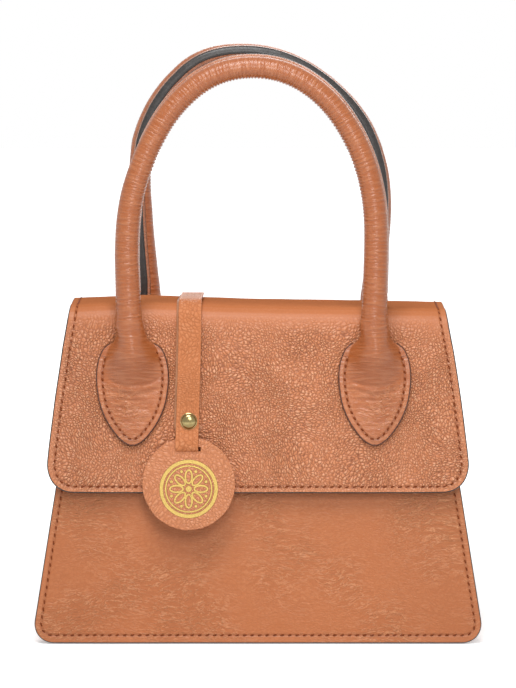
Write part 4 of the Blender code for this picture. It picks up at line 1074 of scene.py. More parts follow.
pocket_drops = end_rows(POCKET_HEIGHT, 2.0, POCKET_CORNER, 1.8)
pocket_half = corner_half(POCKET_HEIGHT - pocket_drops, POCKET_HALF, POCKET_CORNER)
pocket_flat = flat_places(np.linspace(-1, 1, 61) * pocket_half[:, None], pocket_drops[:, None])
pocket = slab("slip_pocket", pocket_point(pocket_flat[..., 0], pocket_flat[..., 1]),
              POCKET_CLOTH, pocket_flat, bead=POCKET_BEAD,
              finishes=(lining_cloth, lining_cloth, lining_cloth))
pocket_seam = seam_stitches("slip_pocket_stitches", both_sides(pocket_half, pocket_drops),
                            POCKET_SEAM, POCKET_PITCH, pocket_point, pocket_out,
                            lambda line: line[:, 1] > 2.6, **POCKET_THREAD)
hem_at = np.arange(-HEM_REACH, HEM_REACH + 0.1, POCKET_PITCH)
hem = pocket_point(hem_at, np.full(len(hem_at), POCKET_HEM))
hem_seam = stitches("slip_pocket_hem_stitches", hem, np.tile([1.0, 0, 0], (len(hem), 1)),
                    pocket_out(hem_at, hem_at), thread, **POCKET_THREAD)
for piece in (pocket, pocket_seam, hem_seam):
    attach(piece, "bag")
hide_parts("inner_pocket")
print("pocket:", len(pocket.data.vertices), "points")

# %% [markdown]
# The stiff boards between leather and lining, the magnetic closure and the back of the rivet
# are right as solids already. They only need the finish of the real thing.

# %% Give the remaining solid parts their finishes
for finish, names in ((board, ("front_board", "back_board", "base_board")),
                      (brass, ("snap_socket", "snap_washer", "snap_stud", "rivet_back"))):
    for name in names:
        for slot in nodes[name].material_slots:
            slot.material = finish
print("solid parts refinished")

# %% [markdown]
# ## The rolled handles
# A rolled handle is one long leather: a tab at each end, and between them a strip rolled
# round a cotton cord and closed by a seam. So each handle is drawn as one sheet, row by row
# along its path. Up on the tube a row is a full ring. Below the neck the ring opens, the
# leather spreads over the swollen end of the cord and lies down as the flat tab. The shape
# of a tab row is its height above the bag for each place across. The bent leather creases:
# fine wrinkles round the tube, deeper on the inside of the arch, and smile-shaped folds
# below the swelling.

# %% Outline and swelling of a tab
LEG_SPACING, LEG_HEIGHT, HANDLE_RISE, NECK_DROP = 122.0, 54.0, 138.4, 4.0
TAB_EDGE = ([-8, -4, 0, 3.2, 4.7, 7.2, 11.2, 15.3, 19.3, 23.3, 27.3, 31.3, 35.3, 39.4,
             43.4, 47.2, 50.4, 52.4, 53.5, 54.0],
            [6.9, 7.9, 9.6, 12.4, 13.6, 15.1, 16.7, 17.5, 17.8, 17.7, 17.2, 16.6, 15.5,
             13.9, 11.8, 9.2, 6.6, 4.3, 2.4, 0.9])
HUMP_EDGE = ([-8, -4, 0, 4, 8, 12, 16, 24, 54], [6.7, 7.6, 9.2, 11.4, 13.2, 14.3, 14.9, 15.2,
                                                 15.2])
FLARE = ([-5, 0, 4, 8, 12, 20], [0.95, 0.62, 0.4, 0.22, 0.1, 0.0])
HUMP_CREST = ([-8, 2, 6, 10, 14, 18, 22, 26, 32, 38, 44, 54],
              [15.2, 15.2, 15.1, 14.2, 12.2, 9.6, 7.0, 4.9, 3.1, 2.4, 2.1, 2.0])
LEATHER = 1.9


def soft_table(table, at):
    """A table's value, with its corners rounded over about three millimetres."""
    near = np.linspace(-1.5, 1.5, 9)
    return np.mean([np.interp(at + step, *table) for step in near], axis=0)


def tab_half(drop):
    close = np.clip((drop - 46) / 3, 0, 1)
    return soft_table(TAB_EDGE, drop) * (1 - close) + np.interp(drop, *TAB_EDGE) * close


print("tab half width at its widest:", round(float(tab_half(np.array(21.0))), 1))

# %% [markdown]
# Under the hump the leather of a tab is pressed into folds that curve like a smile. Each is
# written as one row of numbers: the drop of its middle, how much it smiles, its depth, where
# it is centred, how far it reaches to each side and how wide it is. A noise could make
# creases with less work, but it would spread them evenly, and real ones gather in one place.

# %% Folds and height of a tab
FOLDS = ((24.6, 3.0, 0.55, 0.0, 15.5, 0.7), (28.6, 2.2, 0.5, 2.0, 13.5, 0.65),
         (26.6, 2.6, -0.3, 0.0, 14.0, 1.0), (31.8, 0.8, 0.42, -3.0, 10.0, 0.55),
         (33.6, -0.6, 0.3, 6.0, 6.0, 0.5), (36.0, 0.5, 0.42, 0.0, 11.5, 0.6),
         (38.4, 0.9, 0.32, -3.5, 7.5, 0.5), (40.0, -0.7, 0.28, 4.0, 6.0, 0.5),
         (42.2, 0.4, 0.36, 0.5, 8.5, 0.55), (45.4, 0.5, 0.26, -1.0, 6.0, 0.5),
         (21.4, 3.6, 0.16, 3.0, 10.0, 0.8), (18.2, 3.4, 0.1, -2.0, 9.0, 0.9))


def folds(across, drop, seed, strength):
    """How deep the creases of a tab are at a place."""
    wander = ripple(across, drop, 11, seed) * 0.75
    fine = ripple(across, drop * 2.6, 6.5, seed + 1) + ripple(across, drop * 3.4, 7, seed + 2)
    total = 0.07 * fine * soft_step((drop - 14) / 10) / strength
    for middle, smile, depth, centre, reach, width in FOLDS:
        line = middle - smile * (across / 12) ** 2 + wander
        fade = 1 - soft_step((np.abs(across - centre) - reach * 0.55) / (reach * 0.45))
        total = total + depth * fade * np.exp(-((drop - line) / width) ** 2)
    return total * strength


def hump_half(drop):
    inset = 0.3 + 2.3 * soft_step((drop - 1) / 8)
    return np.minimum(np.interp(drop, *HUMP_EDGE), np.maximum(tab_half(drop) - inset, 0.5))


def tab_height(across, drop, seed, strength):
    """Height of the leather above the bag: a hump that sinks into the flat tab."""
    power = 1 + 1.1 * soft_step((drop - 6) / 20)
    dome = np.cos(math.pi / 2 * np.clip(np.abs(across) / hump_half(drop), 0, 1)) ** power
    crest = soft_table(HUMP_CREST, drop) - LEATHER
    inside = soft_step((tab_half(drop) - np.abs(across) - 2.2) / 1.6)
    return LEATHER + crest * dome - folds(across, drop, seed, strength) * inside * 1.3


print("height of the hump, mm:", tab_height(np.zeros(1), np.full(1, 6.0), 1, 1.0).round(1))

# %% [markdown]
# The path of a handle is two nearly straight legs under a bow. A circle would be too pointed
# for it, so the bow is a fuller curve, whose fullness is a power of the circle's. Real
# handles lean and sway, since leather takes the form in which the bag was stored, and each
# leg has its own small table of steps sideways. The seam turns along the tube as well.

# %% The path of a handle
BOW_POWER = 4  # how late on its way up a handle leans


def arch(width, fullness, lean, shift, sway, step):
    """Points (across, rise) from one neck over the arch to the other.

    sway holds two tables of (rise, sideways step), for the left leg and the right one.
    """
    rise = np.linspace(0, LEG_HEIGHT, 200)
    half = LEG_SPACING / 2 + (width - LEG_SPACING) / 2 * soft_step(rise / LEG_HEIGHT)
    turn = np.linspace(0, math.pi / 2, 600)[1:]
    over = LEG_HEIGHT + (HANDLE_RISE - LEG_HEIGHT) * np.sin(turn) ** (2 / fullness)
    left = np.concatenate([np.stack([-half, rise], -1), np.stack(
        [-width / 2 * np.abs(np.cos(turn)) ** (2 / fullness), over], -1)])
    points = np.concatenate([left, (left * [-1, 1])[-2::-1]])
    points[:, 0] += shift - lean * (points[:, 1] / HANDLE_RISE) ** BOW_POWER
    points[:, 0] += np.where(np.arange(len(points)) < len(left),
                             np.interp(points[:, 1], *sway[0]),
                             np.interp(points[:, 1], *sway[1]))
    return even_line(points, step, closed=False)


def tube_radius(rise):
    return 6.4 - 0.9 * np.clip(rise, 0, None) / HANDLE_RISE


TUBE_STEP, WRINKLE_PITCH, PATTERN_HALF = 0.46, 1.75, 20
SEAM_SHARES = [0, 0.15, 0.2, 0.25, 0.3, 0.4, 0.5, 0.6, 0.7, 0.8, 0.9, 1]
SEAM_TURNS = {  # degrees from straight across the bag outwards, along the handle
    "front": [-34, -35, -34, 0, 36, 45, 47, 45, 43, 41, 40, 40],
    "rear": [14, 8, 7, 7, 8, 10, 18, 20, 20, 15, 11, 10],
}
SWAY = {
    "front": (([0, 45, 62, 75, 90, 105, 125, 138.4],
               [-1.3, -1.2, -0.5, 0.1, 1.2, 1.6, 1.4, 0.2]),
              ([0, 60, 85, 110, 130, 138.4], [-0.8, -1.1, -1.0, -1.0, -0.4, 0.2])),
    "rear": (([0, 18, 35, 56, 75, 92, 100, 110, 118, 126, 138.4],
              [0.6, 1.4, 1.0, 0.5, -0.8, -2.1, -1.8, -1.0, 0.0, 0.9, 0.0]),
             ([0, 35, 56, 75, 100, 110, 118, 126, 138.4],
              [0.0, -0.3, 0.9, 1.5, 1.5, 0.9, 0.1, -0.4, 0.0])),
}
FRAMES = {  # for each side: the tab's foot, its way down and out, and the neck (y, z)
    "front": ((-39.674, 151.611), (-0.10049, -0.99494), (-0.99494, 0.10049), (-48.43, 152.495)),
    "rear": ((39.652, 159.322), (0.07312, -0.99732), (0.99732, 0.07312), (48.43, 159.965)),
}
AROUND = np.linspace(-1, 1, 49)
HUMP_SHARE = 0.62
FOLD_STRENGTH = {-1: 1.05, 1: 0.9}  # the left tab is creased more deeply than the right one
print("tube radius at the neck:", tube_radius(0))

# %% [markdown]
# A handle is used in many ways: its leather, its stitches, its seam and its cord all need the
# same path and the same frame. A small class keeps them together. Its ring method draws the
# tube: the radius shrinks towards the top, fine wrinkles run round it, and on the inside of
# the arch they are deepest, because the leather is pushed together there.

# %% One handle as a surface
def upright(across, rise):
    """Places or directions in the upright plane of a handle."""
    return np.stack([across, 0 * rise, rise], -1)


class Handle:
    """One handle: turns a place on its pattern into a place in space."""

    def __init__(self, side, width, fullness, lean, shift, seed):
        self.foot, self.down, self.out, self.neck = [np.array([0.0, *two])
                                                     for two in FRAMES[side]]
        self.face = np.array([0.0, math.copysign(1, self.out[1]), 0.0])
        self.inner = -1.0 if side == "front" else 1.0
        self.side, self.shift, self.seed = side, shift, seed
        self.line = arch(width, fullness, lean, shift, SWAY[side], TUBE_STEP)
        self.aheads = unit(np.gradient(self.line, axis=0))
        self.lengths = np.arange(len(self.line)) * TUBE_STEP
        self.total = (len(self.line) - 1) * TUBE_STEP

    def on_tab(self, which, across, drop):
        """which is -1 for the left tab and 1 for the right one, across is towards +X."""
        height = tab_height(across, drop, self.seed + which, FOLD_STRENGTH[which])
        middle = np.array([which * LEG_SPACING / 2 + self.shift, 0, 0])
        return (self.foot + middle + across[..., None] * [1.0, 0, 0]
                + (drop - NECK_DROP)[..., None] * self.down + height[..., None] * self.out)

    def tab_out(self, which, across, drop):
        out = face_of(lambda a, d: self.on_tab(which, a, d), across, drop, 0.4)
        return out * np.sign((out * self.out).sum(-1, keepdims=True))

    def seam_turn(self, length, rise):
        degrees = np.interp(length / self.total, SEAM_SHARES, SEAM_TURNS[self.side])
        return np.radians(degrees) * soft_step((rise - 1) / 9)

    def middles(self, points):
        return self.neck + upright(points[:, 0], points[:, 1])

    def ring(self, points, aheads, length):
        """Rings round the points of the path, wrinkled, for the whole of AROUND."""
        rise, length = points[:, 1], length[:, None]
        turn = math.pi * AROUND[None] + self.inner * self.seam_turn(length[:, 0], rise)[:, None]
        side = np.cross(self.face, upright(aheads[:, 0], aheads[:, 1]))
        wide = 1 + np.interp(rise, *FLARE)[:, None]
        way = (np.cos(turn)[..., None] * self.face
               + (np.sin(turn) * wide)[..., None] * side[:, None])
        about = AROUND[None] * PATTERN_HALF
        phase = length / WRINKLE_PITCH * 2 * math.pi + 2.0 * ripple(about * 0.6, length, 13,
                                                                    self.seed + 7)
        inside = np.clip(np.sin(turn) * self.inner, 0, 1)
        arched = soft_step((rise - 45) / 50)[:, None]
        patch = 0.5 + 0.5 * ripple(about, length, 22, self.seed)
        depth = 0.04 + 0.08 * np.clip(patch, 0, 1) + 0.5 * arched * inside ** 2
        fade = soft_step(rise / 10)[:, None]
        radius = tube_radius(rise)[:, None] - depth * fade * (0.5 + 0.5 * np.sin(phase)) ** 2
        return self.middles(points)[:, None] + radius[..., None] * way


front_handle = Handle("front", width=124.4, fullness=2.06, lean=0.5, shift=-2.2, seed=31)
rear_handle = Handle("rear", width=127.2, fullness=2.2, lean=10.0, shift=1.0, seed=41)
print("handle lengths, mm:", round(front_handle.total), round(rear_handle.total))

# %% [markdown]
# Each tab is a stack of rows from its tip up to the neck. The upper rows turn little by
# little from the open tab into the ring of the tube, so there is no joint to hide, and the
# handle bends at its necks as one leather.

# %% Lay out the rows of a handle
TUBE_FROM = 12.4  # the rise above the neck from which the rows are the tube's own
CLOSES_FROM = 9  # the drop along a tab from which its rows begin to close


def tab_rows(handle, which):
    """The rows of one tab, from its tip to the tube, in space and on the pattern."""
    drops = np.concatenate([[53.95, 53.6], np.arange(53.0, -8.01, -0.75)])
    rises = NECK_DROP - drops
    share, sides = np.abs(AROUND)[None], np.sign(AROUND)[None]
    half = tab_half(drops)[:, None]
    hump = np.minimum(hump_half(drops)[:, None], half * 0.8)
    reach = np.where(share < HUMP_SHARE, hump * share / HUMP_SHARE,
                     hump + (half - hump) * (share - HUMP_SHARE) / (1 - HUMP_SHARE))
    across = reach * sides * (-handle.inner * which)
    rows = handle.on_tab(which, across, drops[:, None] * np.ones_like(across))
    upper = drops < CLOSES_FROM
    leg = handle.line[:60] if which < 0 else handle.line[:-60:-1]
    points = np.stack([np.interp(rises[upper], leg[:, 1], leg[:, 0]), rises[upper]], -1)
    aheads = np.stack([0 * rises[upper], np.full(upper.sum(), -float(which))], -1)
    run = rises[upper] if which < 0 else handle.total - rises[upper]
    closing = soft_step((6.5 - drops[upper]) / 14.0)[:, None, None]
    rows[upper] = rows[upper] * (1 - closing) + handle.ring(points, aheads, run) * closing
    spread = reach * sides
    spread[upper] += (AROUND * PATTERN_HALF - spread[upper]) * closing[..., 0]
    pattern = flat_places(spread, drops[:, None])
    return (rows, pattern) if which < 0 else (rows[::-1], pattern[::-1])


def tube_rows(handle):
    keep = handle.line[:, 1] > TUBE_FROM
    length = handle.lengths[keep]
    rows = handle.ring(handle.line[keep], handle.aheads[keep], length)
    down = NECK_DROP - np.minimum(length, handle.total - length)
    return rows, flat_places(AROUND * PATTERN_HALF, down[:, None])


outline_drops = np.concatenate([np.arange(-8, 53, 0.4), np.linspace(53, 54, 12)])
TAB_PATTERN = both_sides(tab_half(outline_drops), outline_drops, 0.4)
print("tab outline points:", len(TAB_PATTERN))

# %% [markdown]
# The two handles are the same leather on different paths. Each is one slab from tip to tip,
# with a burnished rim.

# %% Make both handles
HANDLE_LEATHER, HANDLE_BEAD, TAB_SEAM = 1.6, 0.65, (2.6, 2.6)


def tab_numbers(flat):
    found = edge_numbers(flat, TAB_PATTERN, TAB_SEAM)
    opened = soft_step((flat[..., 1] - 1) / 7)
    found["rim"] = FAR + (found["rim"] - FAR) * opened
    begun = soft_step((flat[..., 1] - 7) / 3)
    found["seam"] = FAR + (found["seam"] - FAR) * begun
    # The hump counts as taut: its grain goes flat and it gets painted shade.
    found["taut"] = soft_step((26 - flat[..., 1]) / 6)
    return found


def make_handle(name, handle, replaced):
    left, tube, right = tab_rows(handle, -1), tube_rows(handle), tab_rows(handle, 1)
    rows, flat = [np.concatenate(parts) for parts in zip(left, tube, right)]
    left_numbers, right_numbers = tab_numbers(left[1]), tab_numbers(right[1])
    # On the tube the leather counts as taut: its grain is flat and it gets painted shade.
    numbers = {key: np.concatenate([left_numbers[key], np.full(tube[0].shape[:2], spare),
                                    right_numbers[key]])
               for key, spare in (("rim", FAR), ("seam", FAR), ("taut", 1.0))}
    made = slab(name, rows, HANDLE_LEATHER, flat, numbers, bead=HANDLE_BEAD,
                finishes=(handle_leather, burnished_edge, flesh_side))
    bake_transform(made)
    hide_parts(*replaced)
    print(name, len(made.data.vertices), "points")


make_handle("front_handle_leather", front_handle,
            ["front_handle", "front_tab_left", "front_tab_right"])
make_handle("rear_handle_leather", rear_handle,
            ["rear_handle", "rear_tab_left", "rear_tab_right"])

# %% [markdown]
# A tab is sewn on along its edge, with shorter and thicker stitches than the panels have.
# The seam stops below the neck, where the leather leaves the bag.

# %% Stitch the tabs
TAB_PITCH, TAB_THREAD = 3.4, {"length": 2.0, "width": 0.85}
TAB_SIDES = ((-1, "left", 10.0, 7.5), (1, "right", 11.0, 7.0))  # where each seam's ends start


def tab_stitches(name, handle, which, body, from_left, from_right):
    def keep(line):
        return line[:, 1] > np.where(line[:, 0] < 0, from_left, from_right)

    made = seam_stitches(name, TAB_PATTERN, TAB_SEAM, TAB_PITCH,
                         lambda x, v: handle.on_tab(which, x, v),
                         lambda x, v: handle.tab_out(which, x, v), keep, **TAB_THREAD)
    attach(made, body)
    print(name, len(made.data.polygons) // 32, "stitches")


for label, handle, body in (("front", front_handle, "flap"), ("rear", rear_handle, "bag")):
    for which, word, first, second in TAB_SIDES:
        tab_stitches(label + "_tab_stitches_" + word, handle, which, body, first, second)

# %% [markdown]
# The tube's seam stands up as a narrow fin on the side that faces the other handle, and it
# turns outwards towards the top. The two edges of the leather are glued and
# painted there, so the fin has a painted crest and leather flanks. A loft of one
# cross-section gives it, sunk into the tube at both ends.

# %% A loft through rings
def turn_outwards(mesh, merge=0.0):
    """Makes all faces look outwards, after joining points closer than merge, in metres."""
    shape = bmesh.new()
    shape.from_mesh(mesh)
    if merge:
        bmesh.ops.remove_doubles(shape, verts=shape.verts, dist=merge)
    bmesh.ops.recalc_face_normals(shape, faces=shape.faces)
    shape.to_mesh(mesh)
    shape.free()


def loft(name, rows, flat, finishes, numbers=None, kinds=None):
    """A closed skin over rings of points, with a lid on the first and the last ring."""
    index = np.arange(rows.shape[0] * rows.shape[1]).reshape(rows.shape[:2])
    faces = quads(np.concatenate([index, index[:, :1]], axis=1))
    faces += [index[0].tolist(), index[-1][::-1].tolist()]
    made = new_mesh(name, rows.reshape(-1, 3), faces, flat.reshape(-1, 2), numbers, kinds,
                    finishes)
    turn_outwards(made.data)
    return made


print("loft helper ready")

# %% [markdown]
# The fin's section is a small trapezoid with a rounded crest, drawn as one half and mirrored.
# The faces of its crest take the edge paint and those of its flanks the handle's leather.

# %% Make the seam fins
FIN_SIDE = ((-3.3, -0.6), (-2.7, 0.3), (-2.4, 1.0), (-2.2, 1.6), (-2.05, 1.7), (-1.7, 2.3),
            (-0.8, 2.5))
FIN_SECTION = np.array(FIN_SIDE + tuple((-x, y) for x, y in reversed(FIN_SIDE)))
FIN_LEATHER = [1, 1, 1, 0, 0, 0, 0, 0, 0, 0, 1, 1, 1, 1]
# The fin's flanks count as leather outside a seam, so they get the painted highlight of a
# margin.
FIN_SUNK, FIN_HIGHLIGHT_SEAM = 1.2, -3.0


def make_fin(name, handle, moving, start):
    keep = handle.line[:, 1] > start
    points, aheads = handle.line[keep], handle.aheads[keep]
    rise = points[:, 1]
    length = np.arange(len(points)) * TUBE_STEP
    turn = handle.seam_turn(handle.lengths[keep], rise)[:, None]
    outer = upright(-aheads[:, 1], aheads[:, 0])
    facing = -handle.face * np.cos(turn) + outer * np.sin(turn)
    beside = np.cross(facing, upright(aheads[:, 0], aheads[:, 1]))
    sink = soft_step(np.minimum(length, length[-1] - length) / 3)[:, None]
    across, high = FIN_SECTION.T[:, None]
    high = high * sink - FIN_SUNK * (1 - sink)
    high = high + 0.06 * ripple(length[:, None], 3 * across, 9, handle.seed + 3)
    rows = (handle.middles(points)[:, None]
            + facing[:, None] * (tube_radius(rise)[:, None] + high)[..., None]
            + beside[:, None] * across[..., None])
    kinds = np.concatenate([np.tile(FIN_LEATHER, len(rows) - 1), [1, 1]]).astype(np.int32)
    made = loft(name, rows, flat_places(across, length[:, None]), (painted_edge, handle_leather),
                {"seam": np.full(high.size, FIN_HIGHLIGHT_SEAM)}, kinds)
    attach(made, moving)
    print(name, len(made.data.vertices), "points")


make_fin("front_handle_seam", front_handle, "front_handle", 23.0)
make_fin("rear_handle_seam", rear_handle, "rear_handle", 4.5)

# %% [markdown]
# A handle is rolled round a cord of cotton, which keeps it round. It can't be seen, but it
# belongs inside, so it follows the same path as the tube, a little thinner than its bore.
# It ends some way up the tube, so that a neck can bend without showing it.

# %% Make the cord cores
CORD_END, CORD_CLEARANCE, CORD_SIDES, CORD_STRIDE = 9.0, 2.4, 16, 4


def make_core(name, handle, moving, node):
    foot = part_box(node)[0][2] / MM + CORD_END
    keep = handle.neck[2] + handle.line[:, 1] > foot
    points, aheads = handle.line[keep][::CORD_STRIDE], handle.aheads[keep][::CORD_STRIDE]
    turns = np.linspace(0, 2 * math.pi, CORD_SIDES + 1)[:-1]
    outer = upright(-aheads[:, 1], aheads[:, 0])
    ring = (outer[:, None] * np.cos(turns)[None, :, None]
            + np.array([0, 1.0, 0]) * np.sin(turns)[None, :, None])
    radius = tube_radius(points[:, 1]) - CORD_CLEARANCE
    rows = handle.middles(points)[:, None] + ring * radius[:, None, None]
    run = np.arange(len(points)) * TUBE_STEP * CORD_STRIDE
    made = loft(name, rows, flat_places(turns * 3, run[:, None]), (cord_cotton,))
    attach(made, moving)
    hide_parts(node)
    print(name, len(made.data.vertices), "points")


make_core("front_handle_cord", front_handle, "front_handle", "front_handle_core")
make_core("rear_handle_cord", rear_handle, "rear_handle", "rear_handle_core")

# %% [markdown]
# ## The hang tag
# A narrow strap is sewn under the top edge, comes over the fold and hangs down. It goes
# through the slot of a round tag and back up, and a rivet holds its two layers together. So
# it is one strip of leather, drawn as a path of places on the skin with a height above it.
# The under layer sits a little to the left, so that its edge shows.

# %% Make the strap
STRAP_AT, STRAP_WIDTH, STRAP_LEATHER, STRAP_BEAD = -34.8, 11.2, 1.0, 0.15
FLAT_TOP, STRAP_REAR = 163.0, 26.0  # height where the flap is flat, and the strap's start
FRONT_ALONG = skin_along[np.argmax((skin_along > front_at) & (skin_line[:, 1] < FLAT_TOP))]
STRAP_START = skin_along[np.argmax((skin_along > rear_at) & (skin_line[:, 0] < STRAP_REAR))]
FRONT_LAYER = ([-80, 0.3, 7.2, 14.15, 21.1, 28, 54.1, 55.6, 56.3, 57.1, 57.8, 62.1],
               [2.1, 2.1, 2.23, 2.51, 2.78, 2.9, 2.9, 4.27, 5.36, 6.14, 6.3, 6.3])
BACK_LAYER = ([-80, 0.3, 28, 62.1], [0.8, 0.8, 1.6, 1.6])
LOOP_DROP, LOOP_MIDDLE, LOOP_RADIUS = 62.1, 3.95, 2.35
UNDER_SHIFT, UNDER_FROM, STRAP_STEP, WAVY_ROWS = 1.1, 57.8, 0.8, 170


def strap_path():
    """Rows of (drop, standoff, sideways shift), over the top, down, round and back."""
    first = STRAP_START - FRONT_ALONG
    down = np.arange(first, LOOP_DROP, STRAP_STEP)
    turn = np.linspace(0, math.pi, 14)[1:-1]
    up = np.arange(LOOP_DROP, first, -STRAP_STEP)
    front = np.stack([down, soft_table(FRONT_LAYER, down), 0 * down], -1)
    loop = np.stack([LOOP_DROP + LOOP_RADIUS * np.sin(turn),
                     LOOP_MIDDLE + LOOP_RADIUS * np.cos(turn), 0 * turn], -1)
    back = np.stack([up, np.interp(up, *BACK_LAYER),
                     -UNDER_SHIFT * soft_step((UNDER_FROM - up) / 8)], -1)
    return np.concatenate([front, loop, back])


drops, standoffs, shifts = strap_path().T[..., None]
ACROSS = np.linspace(-0.5, 0.5, 9) * STRAP_WIDTH
strap_foot = (np.full(len(drops), STRAP_AT), FRONT_ALONG + drops[:, 0])
away = skin_out(*strap_foot)
lean = 0.5 - 1.3 * soft_step(drops / 62)
middle = skin_point(*strap_foot) + away * standoffs + np.array([1.0, 0, 0]) * (shifts + lean)
wave = 0.10 * ripple(drops, ACROSS, 17, 51)
wave[WAVY_ROWS:] = 0
strap_rows = (middle[:, None] + ACROSS[:, None] * [1.0, 0, 0]
              + away[:, None] * wave[..., None])
strap_rows = strap_rows + face_normals(strap_rows) * STRAP_LEATHER / 2
strap_run = np.cumsum(np.linalg.norm(np.diff(middle, axis=0, prepend=middle[:1]), axis=1))
strap_flat = flat_places(ACROSS, strap_run[:, None])
strap_rim = STRAP_WIDTH / 2 - np.abs(strap_flat[..., 0]) + 1.2
strap = slab("tag_strap_leather", strap_rows, STRAP_LEATHER, strap_flat, {"rim": strap_rim},
             bead=STRAP_BEAD, finishes=(strap_leather, strap_leather, flesh_side))
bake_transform(strap)
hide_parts("tag_strap", "tag_strap_top")
print("strap length, mm:", round(float(strap_run[-1]), 1))

# %% [markdown]
# The rivet's cap is turned metal: a low dome with a thin flat rim. A profile is spun about
# the rivet's axis.

# %% Turn the rivet's cap
FLAP_FACE = np.array([0.0, -40.45 + SETBACK, FLAT_TOP])
FLAP_DOWN, FLAP_OUT = np.array([0.0, -0.10049, -0.99494]), np.array([0.0, -0.99494, 0.10049])
FACE_STANDOFF = 0.8
RIVET_DROP, RIVET_STANDOFF, RIVET_SIDES = 49.8, 3.42, 64
DOME_RADIUS, DOME_FOOT, DOME_HEIGHT = 3.75, 0.62, 1.75
CAP_RIM = [(4.0, 0.5), (4.22, 0.44), (4.3, 0.28), (4.25, 0.06), (4.1, 0.0), (1.2, 0.0),
           (1.2, -2.2)]


def on_flap(across, drop, standoff):
    """A place in front of the flap's face, at a drop below the end of its fold."""
    return (np.array([across, 0, 0]) + FLAP_FACE + FLAP_DOWN * drop
            + FLAP_OUT * (FACE_STANDOFF + standoff))


def turned(name, profile, centre, axis, finish):
    """A piece turned on a lathe: profile holds (radius, height) pairs along the axis."""
    profile = np.array(profile)
    side = unit(np.cross(axis, [1.0, 0, 0]))
    other = np.cross(axis, side)
    turn = np.arange(RIVET_SIDES) * 2 * math.pi / RIVET_SIDES
    spin = np.cos(turn)[:, None] * side + np.sin(turn)[:, None] * other
    rows = (centre + profile[:, None, :1] * spin[None] + profile[:, None, 1:] * axis)
    return loft(name, rows, rows[..., [0, 2]], [finish])


cap = [(DOME_RADIUS * math.sin(turn), DOME_FOOT + DOME_HEIGHT * math.cos(turn))
       for turn in np.linspace(0.03, 1, 9) * math.pi / 2]
rivet = turned("rivet_dome", cap + CAP_RIM, on_flap(STRAP_AT, RIVET_DROP, RIVET_STANDOFF),
               FLAP_OUT, brass)
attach(rivet, "tag_strap")
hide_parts("rivet_cap")
print("rivet width, mm:", round(rivet.dimensions.x / MM, 2))

# %% [markdown]
# The tag is two round leathers back to back, cut from the same hide as the flap, with a slot
# for the strap. A flat curve with a hole in it is filled and given its thickness by Blender,
# which is the simplest way to a cut-out shape. It is then laid in the tag's plane. A foil
# ornament is pressed into the face: two thin rings round a flower of dots and petals.

# %% Helpers for flat plates
DISC_DROP, DISC_RADIUS, DISC_LEATHER, DISC_ROUNDING = 81.1, 23.3, 0.95, 0.28
BACK_STANDOFF, DISC_GAP = 3.3, 0.3
FRONT_STANDOFF = BACK_STANDOFF + DISC_LEATHER + DISC_GAP
SLOT_TOP, SLOT_BOTTOM, SLOT_SPARE = 62.4 - DISC_DROP, 65.15 - DISC_DROP, 0.7
to_tag = Matrix(((1, 0, 0), (0, *[-v for v in FLAP_DOWN[1:]]), (0, *FLAP_OUT[1:]))).transposed()


def lay_on_tag(mesh, standoff):
    place = Matrix.Translation(Vector(on_flap(STRAP_AT, DISC_DROP, standoff) * MM))
    mesh.transform(place @ to_tag.to_4x4())


def plate(name, loops, thickness, rounding):
    """A flat plate with holes, in the tag's own plane, as a mesh."""
    curve = bpy.data.curves.new(name, "CURVE")
    curve.dimensions, curve.fill_mode = "2D", "BOTH"
    curve.extrude, curve.bevel_depth = (thickness / 2 - rounding) * MM, rounding * MM
    curve.bevel_resolution = 1
    for loop in loops:
        spline = curve.splines.new("POLY")
        spline.points.add(len(loop) - 1)
        for target, (x, y) in zip(spline.points, loop):
            target.co = (x * MM, y * MM, 0, 1)
        spline.use_cyclic_u = True
    holder = add_object(name, curve)
    graph = bpy.context.evaluated_depsgraph_get()
    mesh = bpy.data.meshes.new_from_object(holder.evaluated_get(graph))
    bpy.data.objects.remove(holder)
    turn_outwards(mesh, merge=0.00001)
    return mesh


def circle(radius, centre=(0, 0), steps=96, uneven=0.0):
    turn = np.arange(steps) * 2 * math.pi / steps
    away = radius + uneven * ripple(turn * 20, 0 * turn, 7, 61)
    return np.stack([centre[0] + away * np.cos(turn), centre[1] + away * np.sin(turn)], -1)


print("slot's top and bottom from the tag's middle:", round(SLOT_TOP, 2), round(SLOT_BOTTOM, 2))

# %% [markdown]
# The two leathers lie back to back with a thin gap, so both layers show at the edge.
# Their outline is a circle cut by hand, so it wavers by a tenth of a millimetre, and the slot
# is a little wider than the strap, which has room to rock in it.

# %% Make the two leathers of the tag
slot_half = STRAP_WIDTH / 2 + SLOT_SPARE
slot_loop = [(-slot_half, -SLOT_TOP), (slot_half, -SLOT_TOP), (slot_half, -SLOT_BOTTOM),
             (-slot_half, -SLOT_BOTTOM)]
for node, standoff in (("tag_disc_back", BACK_STANDOFF), ("tag_disc_front", FRONT_STANDOFF)):
    disc = circle(DISC_RADIUS - DISC_ROUNDING, steps=120, uneven=0.12)
    mesh = plate(node, [disc, slot_loop], DISC_LEATHER, DISC_ROUNDING)
    lay_on_tag(mesh, standoff + DISC_LEATHER / 2)
    mesh.materials.append(tag_leather)
    made = add_object(node + "_leather", mesh)
    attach(made, "tag_disc")
    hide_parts(node)
    print(made.name, len(mesh.polygons), "faces")

# %% [markdown]
# The ornament is hot foil: a heated stamp leaves gold in a shallow dark press mark. So it is
# made twice from the same loops, once as thin foil and once, with each line a little wider
# and a little lower, as the mark. Eight petals stand round a dot, inside two rings.

